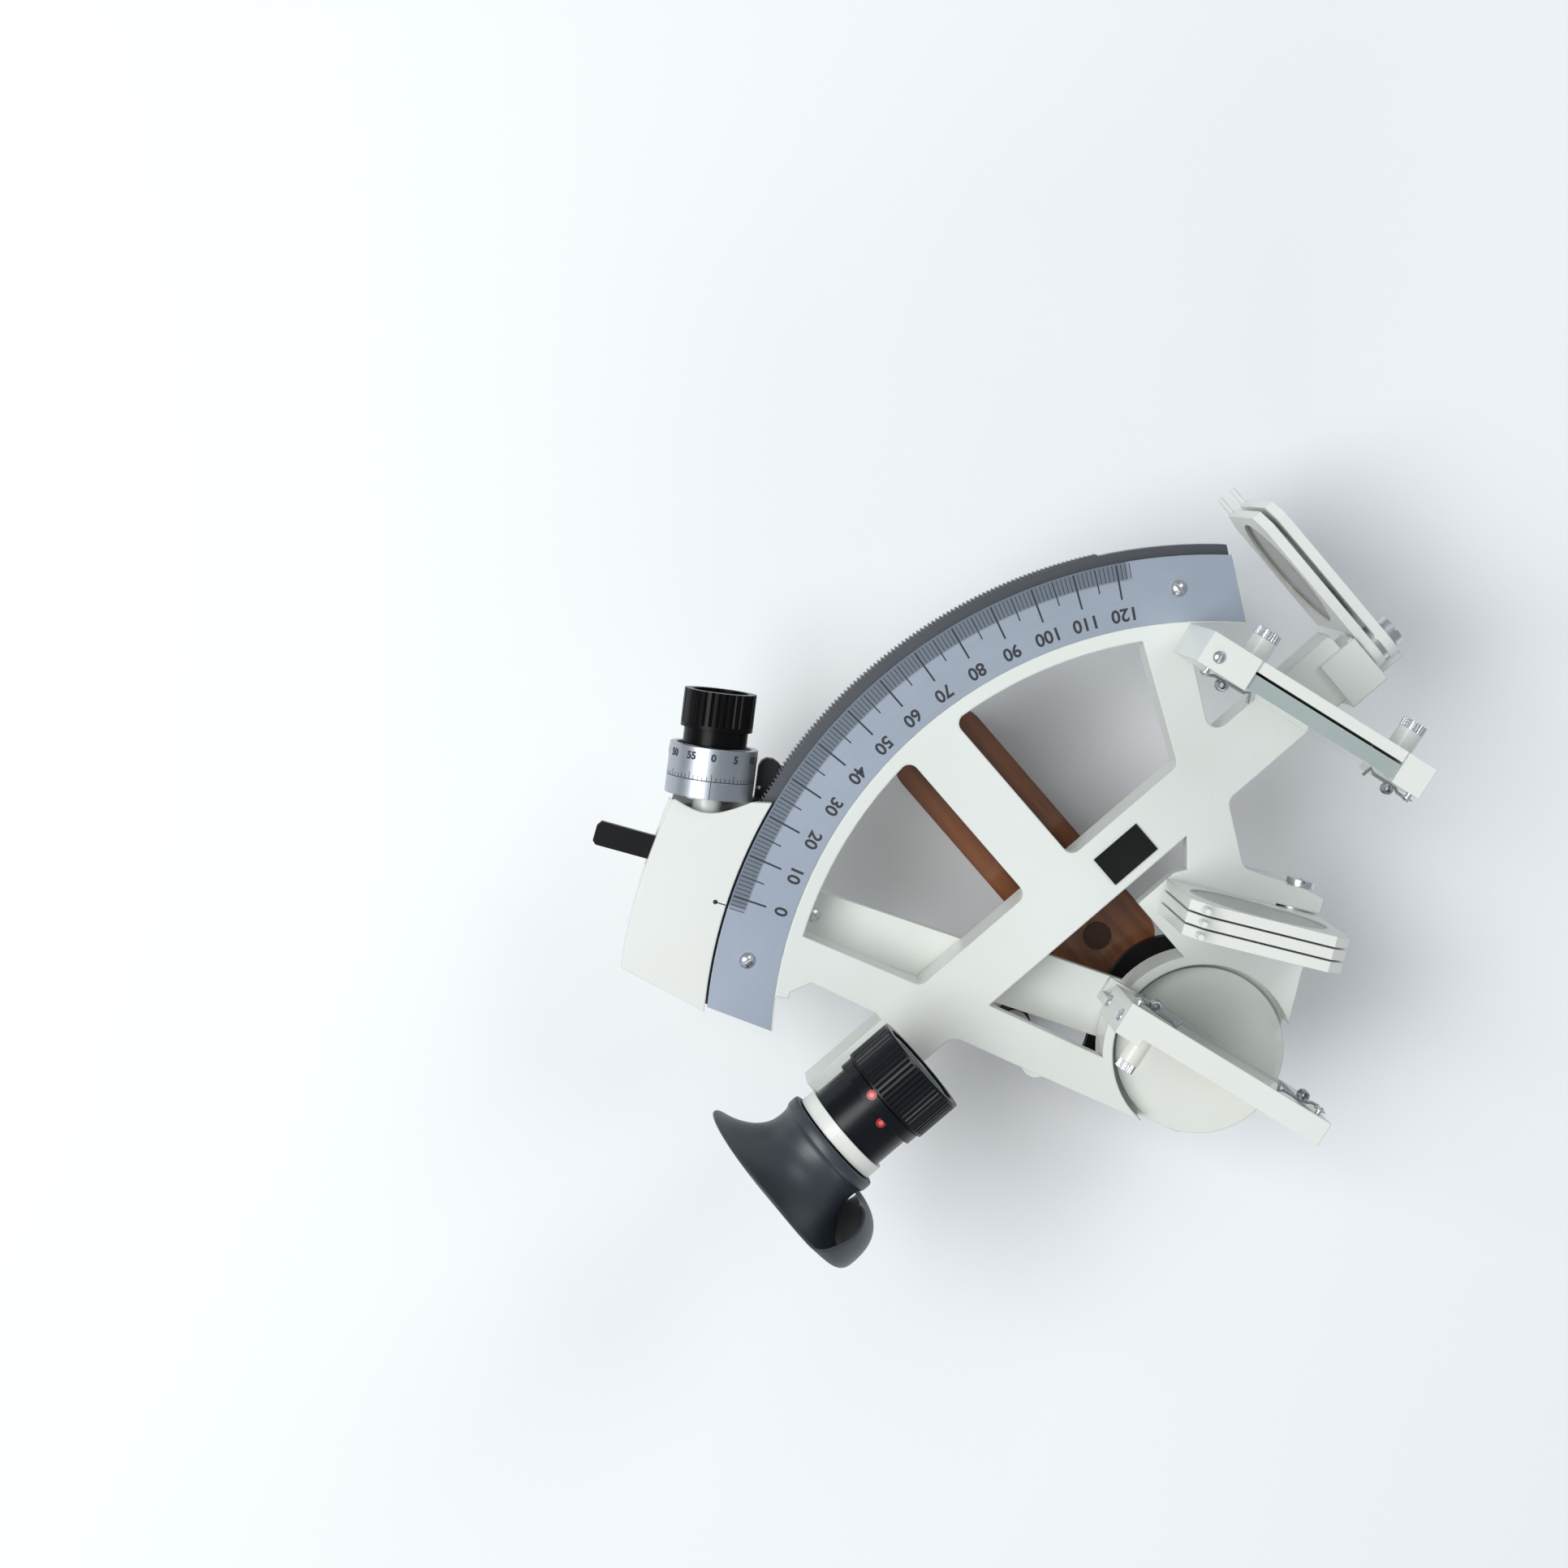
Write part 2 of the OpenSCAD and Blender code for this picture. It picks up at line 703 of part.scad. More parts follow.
// Horizon mirror: glass in front, tray behind it, a block at each end
hor_x = [-0.2, 7.2];
hor_glass_y = [-18.7, 22.5];
hor_end_y = [-26.5, 36];
hor_post_y = [21.5, -20.6];
hor_coil_y = [hor_glass_y[0] - 0.9, hor_glass_y[1] + 4.7];
hor_screw_y = [hor_glass_y[0] - 6.2, hor_glass_y[1] + 9.6];

module horizon_foot_screws() {
  at_horizon_mirror() for (y = [-3.5, 7]) translate([3.5, y, 0]) children();
}

module horizon_mirror_holder() {
  color("#e6e9e1") in_part() difference() {
    at_horizon_mirror() union() {
      block(hor_x[1] - 2.9, hor_x[1], hor_glass_y[0], hor_glass_y[1], foot_t, glass_hi + 0.2);
      block(hor_x[0], hor_x[1], hor_glass_y[0], hor_glass_y[1], foot_t, glass_lo - 0.1);
      block(hor_x[0] - 0.8, hor_x[1], hor_end_y[0], hor_glass_y[0] - 0.1, foot_t + 2, glass_hi + 1);
      block(hor_x[0] - 0.8, hor_x[1], hor_glass_y[1] + 0.1, hor_end_y[1], foot_t + 2, glass_hi + 1);
      block(hor_x[0], hor_x[1], -7.5, 11, 0, foot_t + 0.1);
      for (y = hor_post_y) translate([0, y, sight_z]) xrod(3.2, hor_x[1] - 0.1, hor_x[1] + 5.4);
    }
    at_horizon_mirror() for (y = hor_post_y)
      translate([0, y, sight_z]) xrod(1.2, hor_x[1] - 2, hor_x[1] + 7);
    at_horizon_mirror() horizon_screw_places() rod(0.7 + eps, -3.2, 1);
    horizon_foot_screws() rod(1.05, -1, foot_t + 0.4);
  }
}

module horizon_mirror_glass() {
  color("#a9bdb4") in_part() at_horizon_mirror()
    block(hor_x[0], hor_x[0] + horizon_glass_t, hor_glass_y[0], hor_glass_y[1], glass_lo, glass_hi);
}

module horizon_mirror_springs() {
  color("#8d9094") in_part() at_horizon_mirror() for (side = [0, 1])
    translate([hor_x[0] - 2.5, hor_coil_y[side], glass_hi - 1])
      mirror([0, side, 0]) mirror_spring(spring_leg);
}

// Every small screw of the holder, driven along -z of its own place
module horizon_screw_places() {
  for (y = hor_screw_y)
    translate([hor_x[0] - 1.8, y, glass_hi - 2.5]) rotate([0, -90, 0]) children();
  translate([2.4, hor_end_y[1] - 4, glass_hi + 1]) children();
  translate([2.4, hor_end_y[0], glass_hi - 3]) rotate([90, 0, 0]) children();
}

module horizon_mirror_screws() {
  color("#d8dade") in_part() {
    at_horizon_mirror() horizon_screw_places() dome_screw(1.5, 1.1, 0.7, 3);
    horizon_foot_screws() translate([0, 0, -bar_t + 1.3]) mirror([0, 0, 1])
      cheese_screw(2, 1.2, 1, bar_t - 1.3 + foot_t);
  }
}

module horizon_adjuster(y) {
  color("#d8dade") in_part() at_horizon_mirror()
    translate([hor_x[1] + 5.4 + eps, y, sight_z]) mirror([1, 0, 0]) adjuster(5.5, 3.2);
}

module horizon_adjuster_upper() { horizon_adjuster(hor_post_y[0]); }

module horizon_adjuster_lower() { horizon_adjuster(hor_post_y[1]); }

// Shades

// A shade's outline about its pivot, standing up with the plate to the left of the lug
module shade_outline() {
  left = lug_r - shade_w;
  right = lug_r;
  low = shade_arm - shade_h / 2;
  high = shade_arm + shade_h / 2;
  cut = 4;
  difference() {
    union() {
      polygon([[left, low], [-lug_r, low], [-lug_r, 0], [right, 0], [right, high - cut],
        [right - cut, high], [left + cut, high], [left, high - cut]]);
      circle(r = lug_r);
    }
    circle(r = pin_r + run_fit);
  }
}

// x is the shade's thickness
module shade_plate(x0) {
  difference() {
    translate([x0, 0, 0]) rotate([90, 0, 90]) linear_extrude(shade_t) shade_outline();
    translate([0, -shade_off, shade_arm]) {
      xrod(window_r, x0 - 1, x0 + shade_t + 1);
      xrod(window_r + 0.8, x0 + 0.8, x0 + shade_t + 1);
    }
  }
  translate([x0 + shade_t / 2, lug_r - shade_w + 3, shade_arm + shade_h / 2 - 0.4])
    cylinder(h = 5, r = 0.75);
}

module shade_glass(x0) {
  translate([0, -shade_off, shade_arm]) xrod(window_r + 0.8 - eps, x0 + 0.8 + eps, x0 + shade_t - 0.3);
}

// The index shades stand in the ray, so their plate lies towards the pivot's far side
module index_shade(k) { at_index_shades() mirror([0, 1, 0]) shade_plate(index_shade_t0 + k * shade_step); }

module index_shade_1() { color("#e6e8df") in_part() index_shade(0); }

module index_shade_2() { color("#e6e8df") in_part() index_shade(1); }

module index_shade_3() { color("#e6e8df") in_part() index_shade(2); }

module index_shade_glass(k) {
  at_index_shades() mirror([0, 1, 0]) shade_glass(index_shade_t0 + k * shade_step);
}

module index_shade_glass_1() { color("#59625f") in_part() index_shade_glass(0); }

module index_shade_glass_2() { color("#6a736f") in_part() index_shade_glass(1); }

module index_shade_glass_3() { color("#7d8783") in_part() index_shade_glass(2); }

module index_shade_pin() {
  color("#8f969c") in_part() at_index_shades() {
    xrod(pin_r, cheek_t - 4, block_t + 5.2);
    difference() {
      xrod(3.6, block_t + 5.2, block_t + 6.8);
      block(block_t + 6, block_t + 9, -0.35, 0.35, -5, 5);
    }
  }
}

module shade_washer(x0, thick) { xpipe(lug_r - 0.4, pin_r + eps, x0, x0 + thick); }

module index_shade_washers() {
  color("#c7a86b") in_part() at_index_shades() for (k = [0:3])
    shade_washer(index_shade_t0 + k * shade_step - shade_gap, shade_gap);
}

// The horizon shades lie swung out, along the arc's side and below the frame's face
module horizon_shade(k) {
  at_horizon_shades() rotate([-90, 0, 0]) mirror([0, 1, 0])
    shade_plate(horizon_shade_x + k * horizon_step);
}

module horizon_shade_1() { color("#e8eae2") in_part() horizon_shade(0); }

module horizon_shade_2() { color("#e8eae2") in_part() horizon_shade(1); }

module horizon_shade_glass(k) {
  at_horizon_shades() rotate([-90, 0, 0]) mirror([0, 1, 0])
    shade_glass(horizon_shade_x + k * horizon_step);
}

module horizon_shade_glass_1() { color("#8c8a93") in_part() horizon_shade_glass(0); }

module horizon_shade_glass_2() { color("#6f6c74") in_part() horizon_shade_glass(1); }

module horizon_shade_pin() {
  color("#c9ccd0") in_part() at_horizon_shades() {
    xrod(pin_r, block_x - block_w, pins_end);
    difference() {
      xrod(4, pins_end, pins_end + 2.2);
      block(pins_end + 1.2, pins_end + 3, -0.35, 0.35, -5, 5);
    }
  }
}

module horizon_shade_washers() {
  color("#c7a86b") in_part() at_horizon_shades() {
    shade_washer(block_x, shade_gap);
    shade_washer(horizon_shade_x + shade_t, horizon_gap);
    shade_washer(pins_end - shade_gap, shade_gap);
  }
}

// Telescope

module telescope_screws() {
  for (y = [sight_y - 3, sight_y + 3]) translate([collar_x + 7.5, y, 0]) children();
}

module telescope_collar() {
  color("#e3e5dc") in_part() difference() {
    union() {
      at_sight() xrod(tube_r + collar_ring, collar_x, collar_x + collar_len);
      block(collar_x, collar_x + 11, sight_y - 6, sight_y + 6, 0, sight_z - tube_r + 2);
    }
    at_sight() xrod(tube_r + eps, collar_x - 1, collar_x + 20);
    telescope_screws() rod(1.25, -1, 7);
  }
}

module telescope_tube() {
  step_x = front_x - focus_len - 0.3;
  color("#1c1e20") in_part() at_sight() difference() {
    union() {
      xrod(tube_r, collar_x - 4, front_x - 1);
      xrod(tube_r + 1, step_x - 3, step_x);
    }
    xrod(tube_r - tube_wall, collar_x - 5, front_x + 1);
    // the focusing ring's bed
    xpipe(tube_r + 5, tube_r - 0.6, step_x, front_x + 5);
  }
}

module focus_ring() {
  x0 = front_x - focus_len;
  color("#16181a") in_part() at_sight() difference() {
    xrod(focus_r, x0, front_x);
    xrod(tube_r - 0.6 + run_fit, x0 - 1, front_x + 1);
    // ribs round the grip
    for (a = [0:6:354]) rotate([a, 0, 0]) translate([x0 + 0.6, 0, focus_r + 0.25])
      rotate([0, 90, 0]) cylinder(h = focus_len - 1.2, r = 0.6, $fn = 4);
  }
}

module objective_cell() {
  color("#b9bdc2") in_part() at_sight() difference() {
    xrod(tube_r - tube_wall - run_fit, front_x - 6, front_x - 0.6);
    xrod(tube_r - tube_wall - 1.4, front_x - 7, front_x);
    xrod(tube_r - tube_wall - 0.8, front_x - 3.8, front_x);
  }
}

// A lens with both faces bowed, turned from an arc of points
module lens(r, half_t, edge_t) {
  bow = half_t - edge_t / 2;
  ball = (r * r + bow * bow) / (2 * bow);
  steps = 8;
  front = [for (i = [0:steps]) let (y = r * (1 - i / steps))
    [y, half_t - ball + sqrt(ball * ball - y * y)]];
  rotate([0, 90, 0]) rotate_extrude()
    polygon(concat(front, reversed([for (p = front) [p[0], -p[1]]])));
}

module objective_lens() {
  color("#9fb0b8") in_part() at_sight() translate([front_x - 2.4, 0, 0])
    lens(tube_r - tube_wall - 0.8 - eps, 1.4, 1.2);
}

module eyepiece_lens() {
  color("#9fb0b8") in_part() at_sight() translate([collar_x + 2.5, 0, 0])
    lens(tube_r - tube_wall - eps, 1.6, 1.4);
}

// A soft cup that flares from its flange to a thin lip
module eyecup() {
  x1 = collar_x - 0.3;
  r0 = tube_r + run_fit;
  color("#3a4148") in_part() at_sight() rotate([0, -90, 0]) translate([0, 0, -x1])
    rotate_extrude($fn = 96) polygon([[r0, 0], [14, 0], [14, 2.9], [13.2, 3.9], [13, 6.9],
      [14.2, 10.9], [17.5, 14.9], [eyecup_r - 2.5, 17.9], [eyecup_r, 19.1],
      [eyecup_r - 1, 20.5], [17, 21.9], [14, cup_len], [13.5, 20.9], [12, 12.9], [r0, 7.9]]);
}

// Micrometer

module cover_outline() {
  intersection() {
    difference() {
      circle(r = cover_out, $fn = 360);
      circle(r = cover_in, $fn = 360);
    }
    polygon([worm_frame_xy([-7.6, -15]), worm_frame_xy([8, 25]), worm_frame_xy([46.7, 25]),
      worm_frame_xy([50.1, -17])]);
  }
}

module index_housing() {
  color("#e8ebe4") in_part() difference() {
    union() {
      slab(-cover_t, 0) cover_outline();
      // outer wall
      slab(arm_top, -cover_t) intersection() {
        cover_outline();
        difference() {
          circle(r = cover_out, $fn = 360);
          circle(r = cover_out - skirt_t, $fn = 360);
        }
      }
      // wall under the drum, and bosses for the screws
      intersection() {
        slab(arm_top, -cover_t) cover_outline();
        at_worm() union() {
          rotate([0, 0, 4.5]) block(46.2, 55, -9, 15, -30, 30);
          for (b = boss_at) translate([b[0], b[1], 0]) rod(b[2], -30, 30);
        }
      }
    }
    at_worm() {
      // scoop under the drum and way out for the carrier's nose
      translate([45.6, 0, 0]) rotate([0, 90, 0]) cylinder(h = 5.4, r1 = 6.3, r2 = 14.7);
      xrod(nose_r + 0.7, 40, 60);
      // slot of the release lever
      block(30, 39.8, 8, 25, -3.4, 1.4);
      for (b = boss_at) translate([b[0], b[1], 0]) rod(1, -30, -worm_z - cover_t - 1.5);
      translate([pivot_at[0], pivot_at[1], 0]) rod(2.2 + eps, 0, -worm_z - 1.2);
    }
    // rack and limb pass underneath
    slab(-20, -cover_t) circle(r = rack_r + 0.4, $fn = 360);
  }
}

module housing_screws() {
  color("#c9ccd0") in_part() {
    at_worm() for (b = boss_at)
      translate([b[0], b[1], arm_bot - worm_z]) mirror([0, 0, 1])
        cheese_screw(2.2, 1.4, 0.98, arm_t + 7);
    // small screw on the arm's middle line
    rotate([0, 0, arm_deg]) translate([plate_r - 22, 0, arm_top])
      dome_screw(2, 0.8, 1.28, arm_t - 0.2);
  }
}

module worm_carrier() {
  lo = carrier_lo - worm_z;
  hi = carrier_hi - worm_z;
  color("#55585c") in_part() at_worm() difference() {
    union() {
      block(1.2, carrier_end, 4, 8, lo, hi);
      block(-0.2, 1.9, -2.2, 4.6, -3, 3);
      block(31, carrier_end, -4.4, 8, lo, hi);
      xrod(nose_r, carrier_end - 0.1, ring_x - 0.02);
    }
    xrod(spindle_r + run_fit, -1, 8);
    xrod(3, 20, 33.15);
    xrod(bush_r, 30, 60);
    translate([pivot_at[0], pivot_at[1], 0]) rod(2.2 + run_fit, -10, 10);
    // relief for the bosses and the spring
    translate([8, 12, 0]) rod(4.6, -10, 10);
    translate([26, 11, 0]) rod(4.6, -10, 10);
    // seat of the release lever
    block(31, 37.6, 4.6, 9, -1.4 - eps, hi + 1);
  }
}

module carrier_pivot() {
  lo = arm_bot - worm_z;
  color("#9aa0a6") in_part() at_worm() translate([pivot_at[0], pivot_at[1], 0]) {
    rod(2.2, lo, -worm_z - 1.3);
    rod(3.4, lo - 1.6, lo);
  }
}

// A bent leaf between the housing's wall and the carrier holds the worm in the rack
module carrier_spring() {
  outer = [[14, 13.9], [21.3, 12.9], [22.2, 11.2], [21.3, 9.8], [15.4, 8.02]];
  inner = [[15.3, 8.45], [21, 10.2], [21.7, 11.2], [21, 12.5], [14, 13.45]];
  color("#a7abb0") in_part() at_worm() translate([0, 0, -2.5]) linear_extrude(4)
    polygon(concat(outer, inner));
}

// The worm: rows of profile points follow the helix, and one turn later they meet
// the next rows; at both ends a plain collar closes it.
module tangent_worm() {
  seg = 18;
  turns = floor(worm_len / worm_pitch) - 1;
  root_r = worm_r - thread_h;
  crest = 0.2;
  base = 0.5;
  profile = [[-worm_pitch / 2, root_r], [-base / 2, root_r], [-crest / 2, worm_r],
    [crest / 2, worm_r], [base / 2, root_r]];
  rows = [for (k = [0:turns - 1]) each [for (j = [0:4]) [k * worm_pitch + profile[j][0], profile[j][1]]],
    [(turns - 0.5) * worm_pitch, root_r]];
  m = len(rows);
  per = 5;
  // the crest on the rack's side lies a whole number of pitches from the worm's foot
  first = ceil((worm_x + 0.75 * worm_pitch) / worm_pitch) * worm_pitch;
  at = function (x, r, b) [x, r * cos(180 + b * 360 / seg), r * sin(180 + b * 360 / seg)];
  body = [for (b = [0:seg - 1], i = [0:m - 1])
    at(first + rows[i][0] + worm_pitch * b / seg, rows[i][1], b)];
  x_lo = worm_x;
  x_hi = first + (turns + 0.9) * worm_pitch;
  start = [for (b = [0:seg - 1]) at(x_lo, root_r - 0.1, b)];
  finish = [for (b = [0:seg - 1]) at(x_hi, root_r, b)];
  id = function (b, i) b < seg ? b * m + i : (b - seg) * m + i + per;
  s0 = seg * m;
  f0 = s0 + seg;
  skin = [for (b = [0:seg - 1], i = [0:m - 2]) if (b < seg - 1 || i + 1 + per < m) each
    [[id(b, i), id(b, i + 1), id(b + 1, i)], [id(b, i + 1), id(b + 1, i + 1), id(b + 1, i)]]];
  low = [for (b = [0:seg - 1]) each [[s0 + b, id(b, 0), s0 + (b + 1) % seg],
    [id(b, 0), id(b + 1, 0), s0 + (b + 1) % seg]]];
  low_step = [for (i = [0:per - 1]) [s0, id(0, i + 1), id(0, i)]];
  high = [for (b = [0:seg - 2]) each [[f0 + b, f0 + b + 1, id(b, m - 1)],
    [id(b, m - 1), f0 + b + 1, id(b + 1, m - 1)]]];
  high_last = [[f0 + seg - 1, f0, id(seg - 1, m - 1)], [id(seg - 1, m - 1), f0, id(0, m - 1)]];
  high_step = [for (i = [m - 1 - per:m - 2]) [id(0, m - 1), id(seg - 1, i), id(seg - 1, i + 1)]];
  color("#9aa0a6") in_part() at_worm() difference() {
    polyhedron(concat(body, start, finish), concat(skin, low, low_step, high, high_last, high_step,
      [[for (b = [0:seg - 1]) s0 + b]], [reversed([for (b = [0:seg - 1]) f0 + b])]), convexity = 10);
    rotate([0, 90, 0]) cylinder(h = 40, r = spindle_r / cos(22.5) + eps, $fn = 8);
  }
}

module worm_spindle() {
  color("#9aa0a6") in_part() at_worm() {
    xrod(spindle_r, -0.1, knob_x + 4);
    xrod(2.4, 31.2, 33.1);
  }
}

module spindle_bush() {
  color("#b08d57") in_part() at_worm() xpipe(bush_r - eps, spindle_r + run_fit, 33.2, ring_x - 0.1);
}

module index_ring() {
  color("#c3c7cc") in_part() at_worm() difference() {
    xrod(drum_r, ring_x, ring_x + ring_len);
    xrod(2, ring_x - 1, ring_x + 20);
    xrod(drum_r - 2, ring_x + 2, ring_x + 20);
  }
}

module micrometer_drum() {
  color("#c8ccd1") in_part() at_worm() difference() {
    union() {
      xrod(drum_r, drum_x, drum_x + drum_len);
    }
    xrod(spindle_r + eps, drum_x - 1, drum_x + 20);
    xpipe(drum_r - 1.6, 4, drum_x + drum_len - 1, drum_x + 20);
  }
}

module drum_knob() {
  neck = 4.2;
  color("#17181a") in_part() at_worm() difference() {
    union() {
      xrod(knob_r - 1, knob_x, knob_x + neck);
      xrod(knob_r, knob_x + neck, knob_x + knob_len);
    }
    xrod(spindle_r + eps, knob_x - 1, knob_x + 4 + eps);
    // flutes of the grip, and the dished end
    for (a = [0:12:348]) rotate([a, 0, 0]) translate([knob_x + neck + 1, 0, knob_r + 0.3])
      rotate([0, 90, 0]) cylinder(h = 20, r = 0.75, $fn = 4);
    xrod(knob_r - 2, knob_x + knob_len - 0.8, knob_x + 30);
  }
}

module release_lever() {
  color("#1b1c1e") in_part() at_worm() difference() {
    translate([31.2, 0, -1.4]) linear_extrude(2.4)
      polygon([[0, 4.7], [6.2, 4.7], [6.2, 10], [8.6, 25.5], [7.4, 26.6], [3.6, 27.2],
        [2.6, 26.4], [0.4, 12]]);
    translate([34.2, 6.6, 0]) rod(0.8, -5, 5);
  }
}

// Handle and legs

module handle_posts() {
  for (side = [-1, 1]) {
    translate([side * 49, bar_y + 5.5, 0]) children();
    translate([side < 0 ? -25 : 23.5, 7, 0]) children();
  }
}

handle_y0 = 21.6;
plug_r = 3.6;

module at_plug() { translate([-0.6, 34, 0]) children(); }

module handle_bracket() {
  lo = -handle_gap - bracket_t;
  color("#2a2b2d") in_part() difference() {
    union() {
      slab(lo, -handle_gap) {
        translate([-6, bar_y]) square([12, handle_y0 + handle_len - 6 - bar_y]);
        polygon([[-54, bar_y], [54, bar_y], [54, bar_y + 11], [-54, bar_y + 11]]);
        // rail behind the web, and the yoke behind the ring
        hull() {
          translate([43, bar_y + 5.5]) circle(r = 4.5);
          translate([23.5, 7]) circle(r = 4.5);
        }
        hull() {
          for (x = [-25, 23.5]) translate([x, 7]) circle(r = 5);
          intersection() {
            translate([2.3, 7]) circle(r = 19);
            translate([-30, 2]) square([60, 30]);
          }
        }
      }
      handle_posts() rod(3.4, -handle_gap, -bar_t);
    }
    handle_posts() rod(1.25, lo - 1, -bar_t + 1);
    for (y = [bar_y + 5.5, handle_y0 + handle_len - 14]) translate([0, y, 0]) rod(1.6, lo - 1, 0);
  }
}

module handle_grip() {
  top = -handle_gap - bracket_t;
  bend = 8;
  color("#9a4f1e") in_part() difference() {
    translate([0, handle_y0, top - handle_d / 2]) hull() {
      for (y = [bend, handle_len - bend], x = [-1, 1])
        translate([x * (handle_w / 2 - bend), y, handle_d / 2 - bend]) {
          cylinder(h = bend, r = bend, $fn = 32);
          translate([0, 0, -handle_d + 2 * bend]) sphere(r = bend, $fn = 32);
        }
    }
    at_plug() rod(plug_r + eps, top - 6, 0);
    for (y = [bar_y + 5.5, handle_y0 + handle_len - 14]) translate([0, y, 0]) rod(1.5, top - 14, 0);
  }
}

module handle_screws() {
  lo = -handle_gap - bracket_t;
  color("#c9ccd0") in_part() {
    for (y = [bar_y + 5.5, handle_y0 + handle_len - 14]) translate([0, y, -handle_gap])
      cheese_screw(2.6, 1.4, 1.45, bracket_t + 13);
    handle_posts() translate([0, 0, lo]) mirror([0, 0, 1])
      cheese_screw(2.2, 1.4, 1.2, handle_gap + bracket_t - bar_t + 5);
  }
}

module handle_plug() {
  top = -handle_gap - bracket_t;
  color("#3a2a20") in_part() at_plug() rod(plug_r, top - 6 + eps, top + 0.4);
}

module leg_places() {
  for (a = [131.7, 48.3]) rotate([0, 0, a]) translate([plate_r - 12, 0, 0]) children();
}

third_leg = [-33, 25];

module legs() {
  color("#d9dcd4") in_part() {
    leg_places() union() {
      rod(leg_r, leg_foot + tip_h, -limb_t);
      rod(2, -limb_t, -limb_t + 4.5);
    }
    translate([third_leg[0], third_leg[1], 0]) rod(leg_r, leg_foot + tip_h, -web_t);
  }
}

module leg_tip() {
  translate([0, 0, leg_foot]) rotate_extrude($fn = 48) polygon([[0, 0], [leg_r + 0.2, 0],
    [leg_r + 0.8, 0.8], [leg_r + 0.5, tip_h + 2.5], [leg_r + eps, tip_h + 3], [leg_r + eps, tip_h],
    [0, tip_h]]);
}

module leg_tips() {
  color("#2a2b2c") in_part() {
    leg_places() leg_tip();
    translate([third_leg[0], third_leg[1], 0]) leg_tip();
  }
}

module name_plate() {
  color("#15161a") in_part() block(11, 24.8, 47.4, 55.8, 0, 0.5);
}

frame_casting();
scale_plate();
scale_plate_screws();
tangent_rack();
bearing_bush();
index_arm();
arm_shaft();
arm_nut();
mirror_disc();
index_mirror_holder();
index_mirror_glass();
index_mirror_springs();
index_mirror_screws();
index_adjuster();
horizon_mirror_holder();
horizon_mirror_glass();
horizon_mirror_springs();
horizon_mirror_screws();
horizon_adjuster_upper();
horizon_adjuster_lower();
index_shade_1();
index_shade_2();
index_shade_3();
index_shade_glass_1();
index_shade_glass_2();
index_shade_glass_3();
index_shade_pin();
index_shade_washers();
horizon_shade_1();
horizon_shade_2();
horizon_shade_glass_1();
horizon_shade_glass_2();
horizon_shade_pin();
horizon_shade_washers();
telescope_collar();
telescope_tube();
focus_ring();
objective_cell();
objective_lens();
eyepiece_lens();
eyecup();
index_housing();
housing_screws();
worm_carrier();
carrier_pivot();
carrier_spring();
tangent_worm();
worm_spindle();
spindle_bush();
index_ring();
micrometer_drum();
drum_knob();
release_lever();
handle_bracket();
handle_grip();
handle_screws();
handle_plug();
legs();
leg_tips();
name_plate();
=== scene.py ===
import math

import bmesh
import bpy
from mathutils import Euler, Matrix, Vector


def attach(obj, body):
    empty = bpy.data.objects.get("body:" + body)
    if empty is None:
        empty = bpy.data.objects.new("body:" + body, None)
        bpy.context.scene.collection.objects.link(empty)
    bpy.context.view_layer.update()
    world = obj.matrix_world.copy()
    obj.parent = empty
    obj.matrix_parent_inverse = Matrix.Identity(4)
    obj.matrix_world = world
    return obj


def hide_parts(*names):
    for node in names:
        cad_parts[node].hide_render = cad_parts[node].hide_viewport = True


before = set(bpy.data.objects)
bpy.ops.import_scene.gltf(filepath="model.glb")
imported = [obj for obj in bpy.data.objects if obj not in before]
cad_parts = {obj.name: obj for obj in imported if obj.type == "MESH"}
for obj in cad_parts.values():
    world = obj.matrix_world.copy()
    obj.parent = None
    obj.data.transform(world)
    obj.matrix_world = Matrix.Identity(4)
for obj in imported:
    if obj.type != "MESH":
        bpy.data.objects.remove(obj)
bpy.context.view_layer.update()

MM = 0.001
# The index arm's pivot at the frame's face; sizes below are in millimetres from there
PIVOT = Vector((-0.6, -64.8, 62.0))
ARM_DEG = 120.0
# The worm's middle on the arc; its x axis runs along the spindle towards the knob
WORM_R, WORM_DEG, WORM_Z = 130.97, ARM_DEG + 12, -6.5
# The telescope's axis, its tube, and the collar's face that the eyecup sits against
SIGHT_Y, SIGHT_Z = 49.08, 20.0
TUBE_R, BAND_R = 11.4, 12.4
CUP_X = -81.4
# The arc's divisions as (every so many degrees, inner radius, width), coarsest first; then their
# outer radius, the numbers' radius, the last number and how far the ticks run past both ends
ARC_TICKS = ((10, 116.0, 0.48), (5, 118.5, 0.32), (1, 120.8, 0.2))
ARC_OUTER, NUMBER_R, ARC_END, ARC_SPARE = 124.6, 112.3, 120, 3
# Drawn marks stand this far off the surface that carries them
LIFT = 0.02
# The camera's place, its turns in degrees about x, y and z, and its lens and sensor
EYE, EYE_TURN = (-2.81, 196.39, 706.63), (-6.295, -2.065, -40.891)
LENS, SENSOR = 66.15, 36.0
# Lamps as (name, place, aim, size, watts, colour), in metres: far and large, so that the table
# stays pale well away from the part
LAMPS = (
    ("overhead", (-0.80, 0.80, 1.80), (0, 0, 0), (1.60, 1.15), 35.5, (0.975, 0.99, 1.0)),
    ("window_side", (1.50, 0.20, 1.50), (0, 0, 0.03), (0.70, 1.0), 7.2, (0.95, 0.98, 1.0)),
    ("low_front", (-1.4, -1.4, 0.90), (0, 0, 0.03), (1.0, 0.6), 6.8, (1.0, 0.95, 0.88)),
)
# Half the table's side, in metres
TABLE_HALF = 6


def place(x, y, z):
    return (Vector((x, y, z)) + PIVOT) * MM


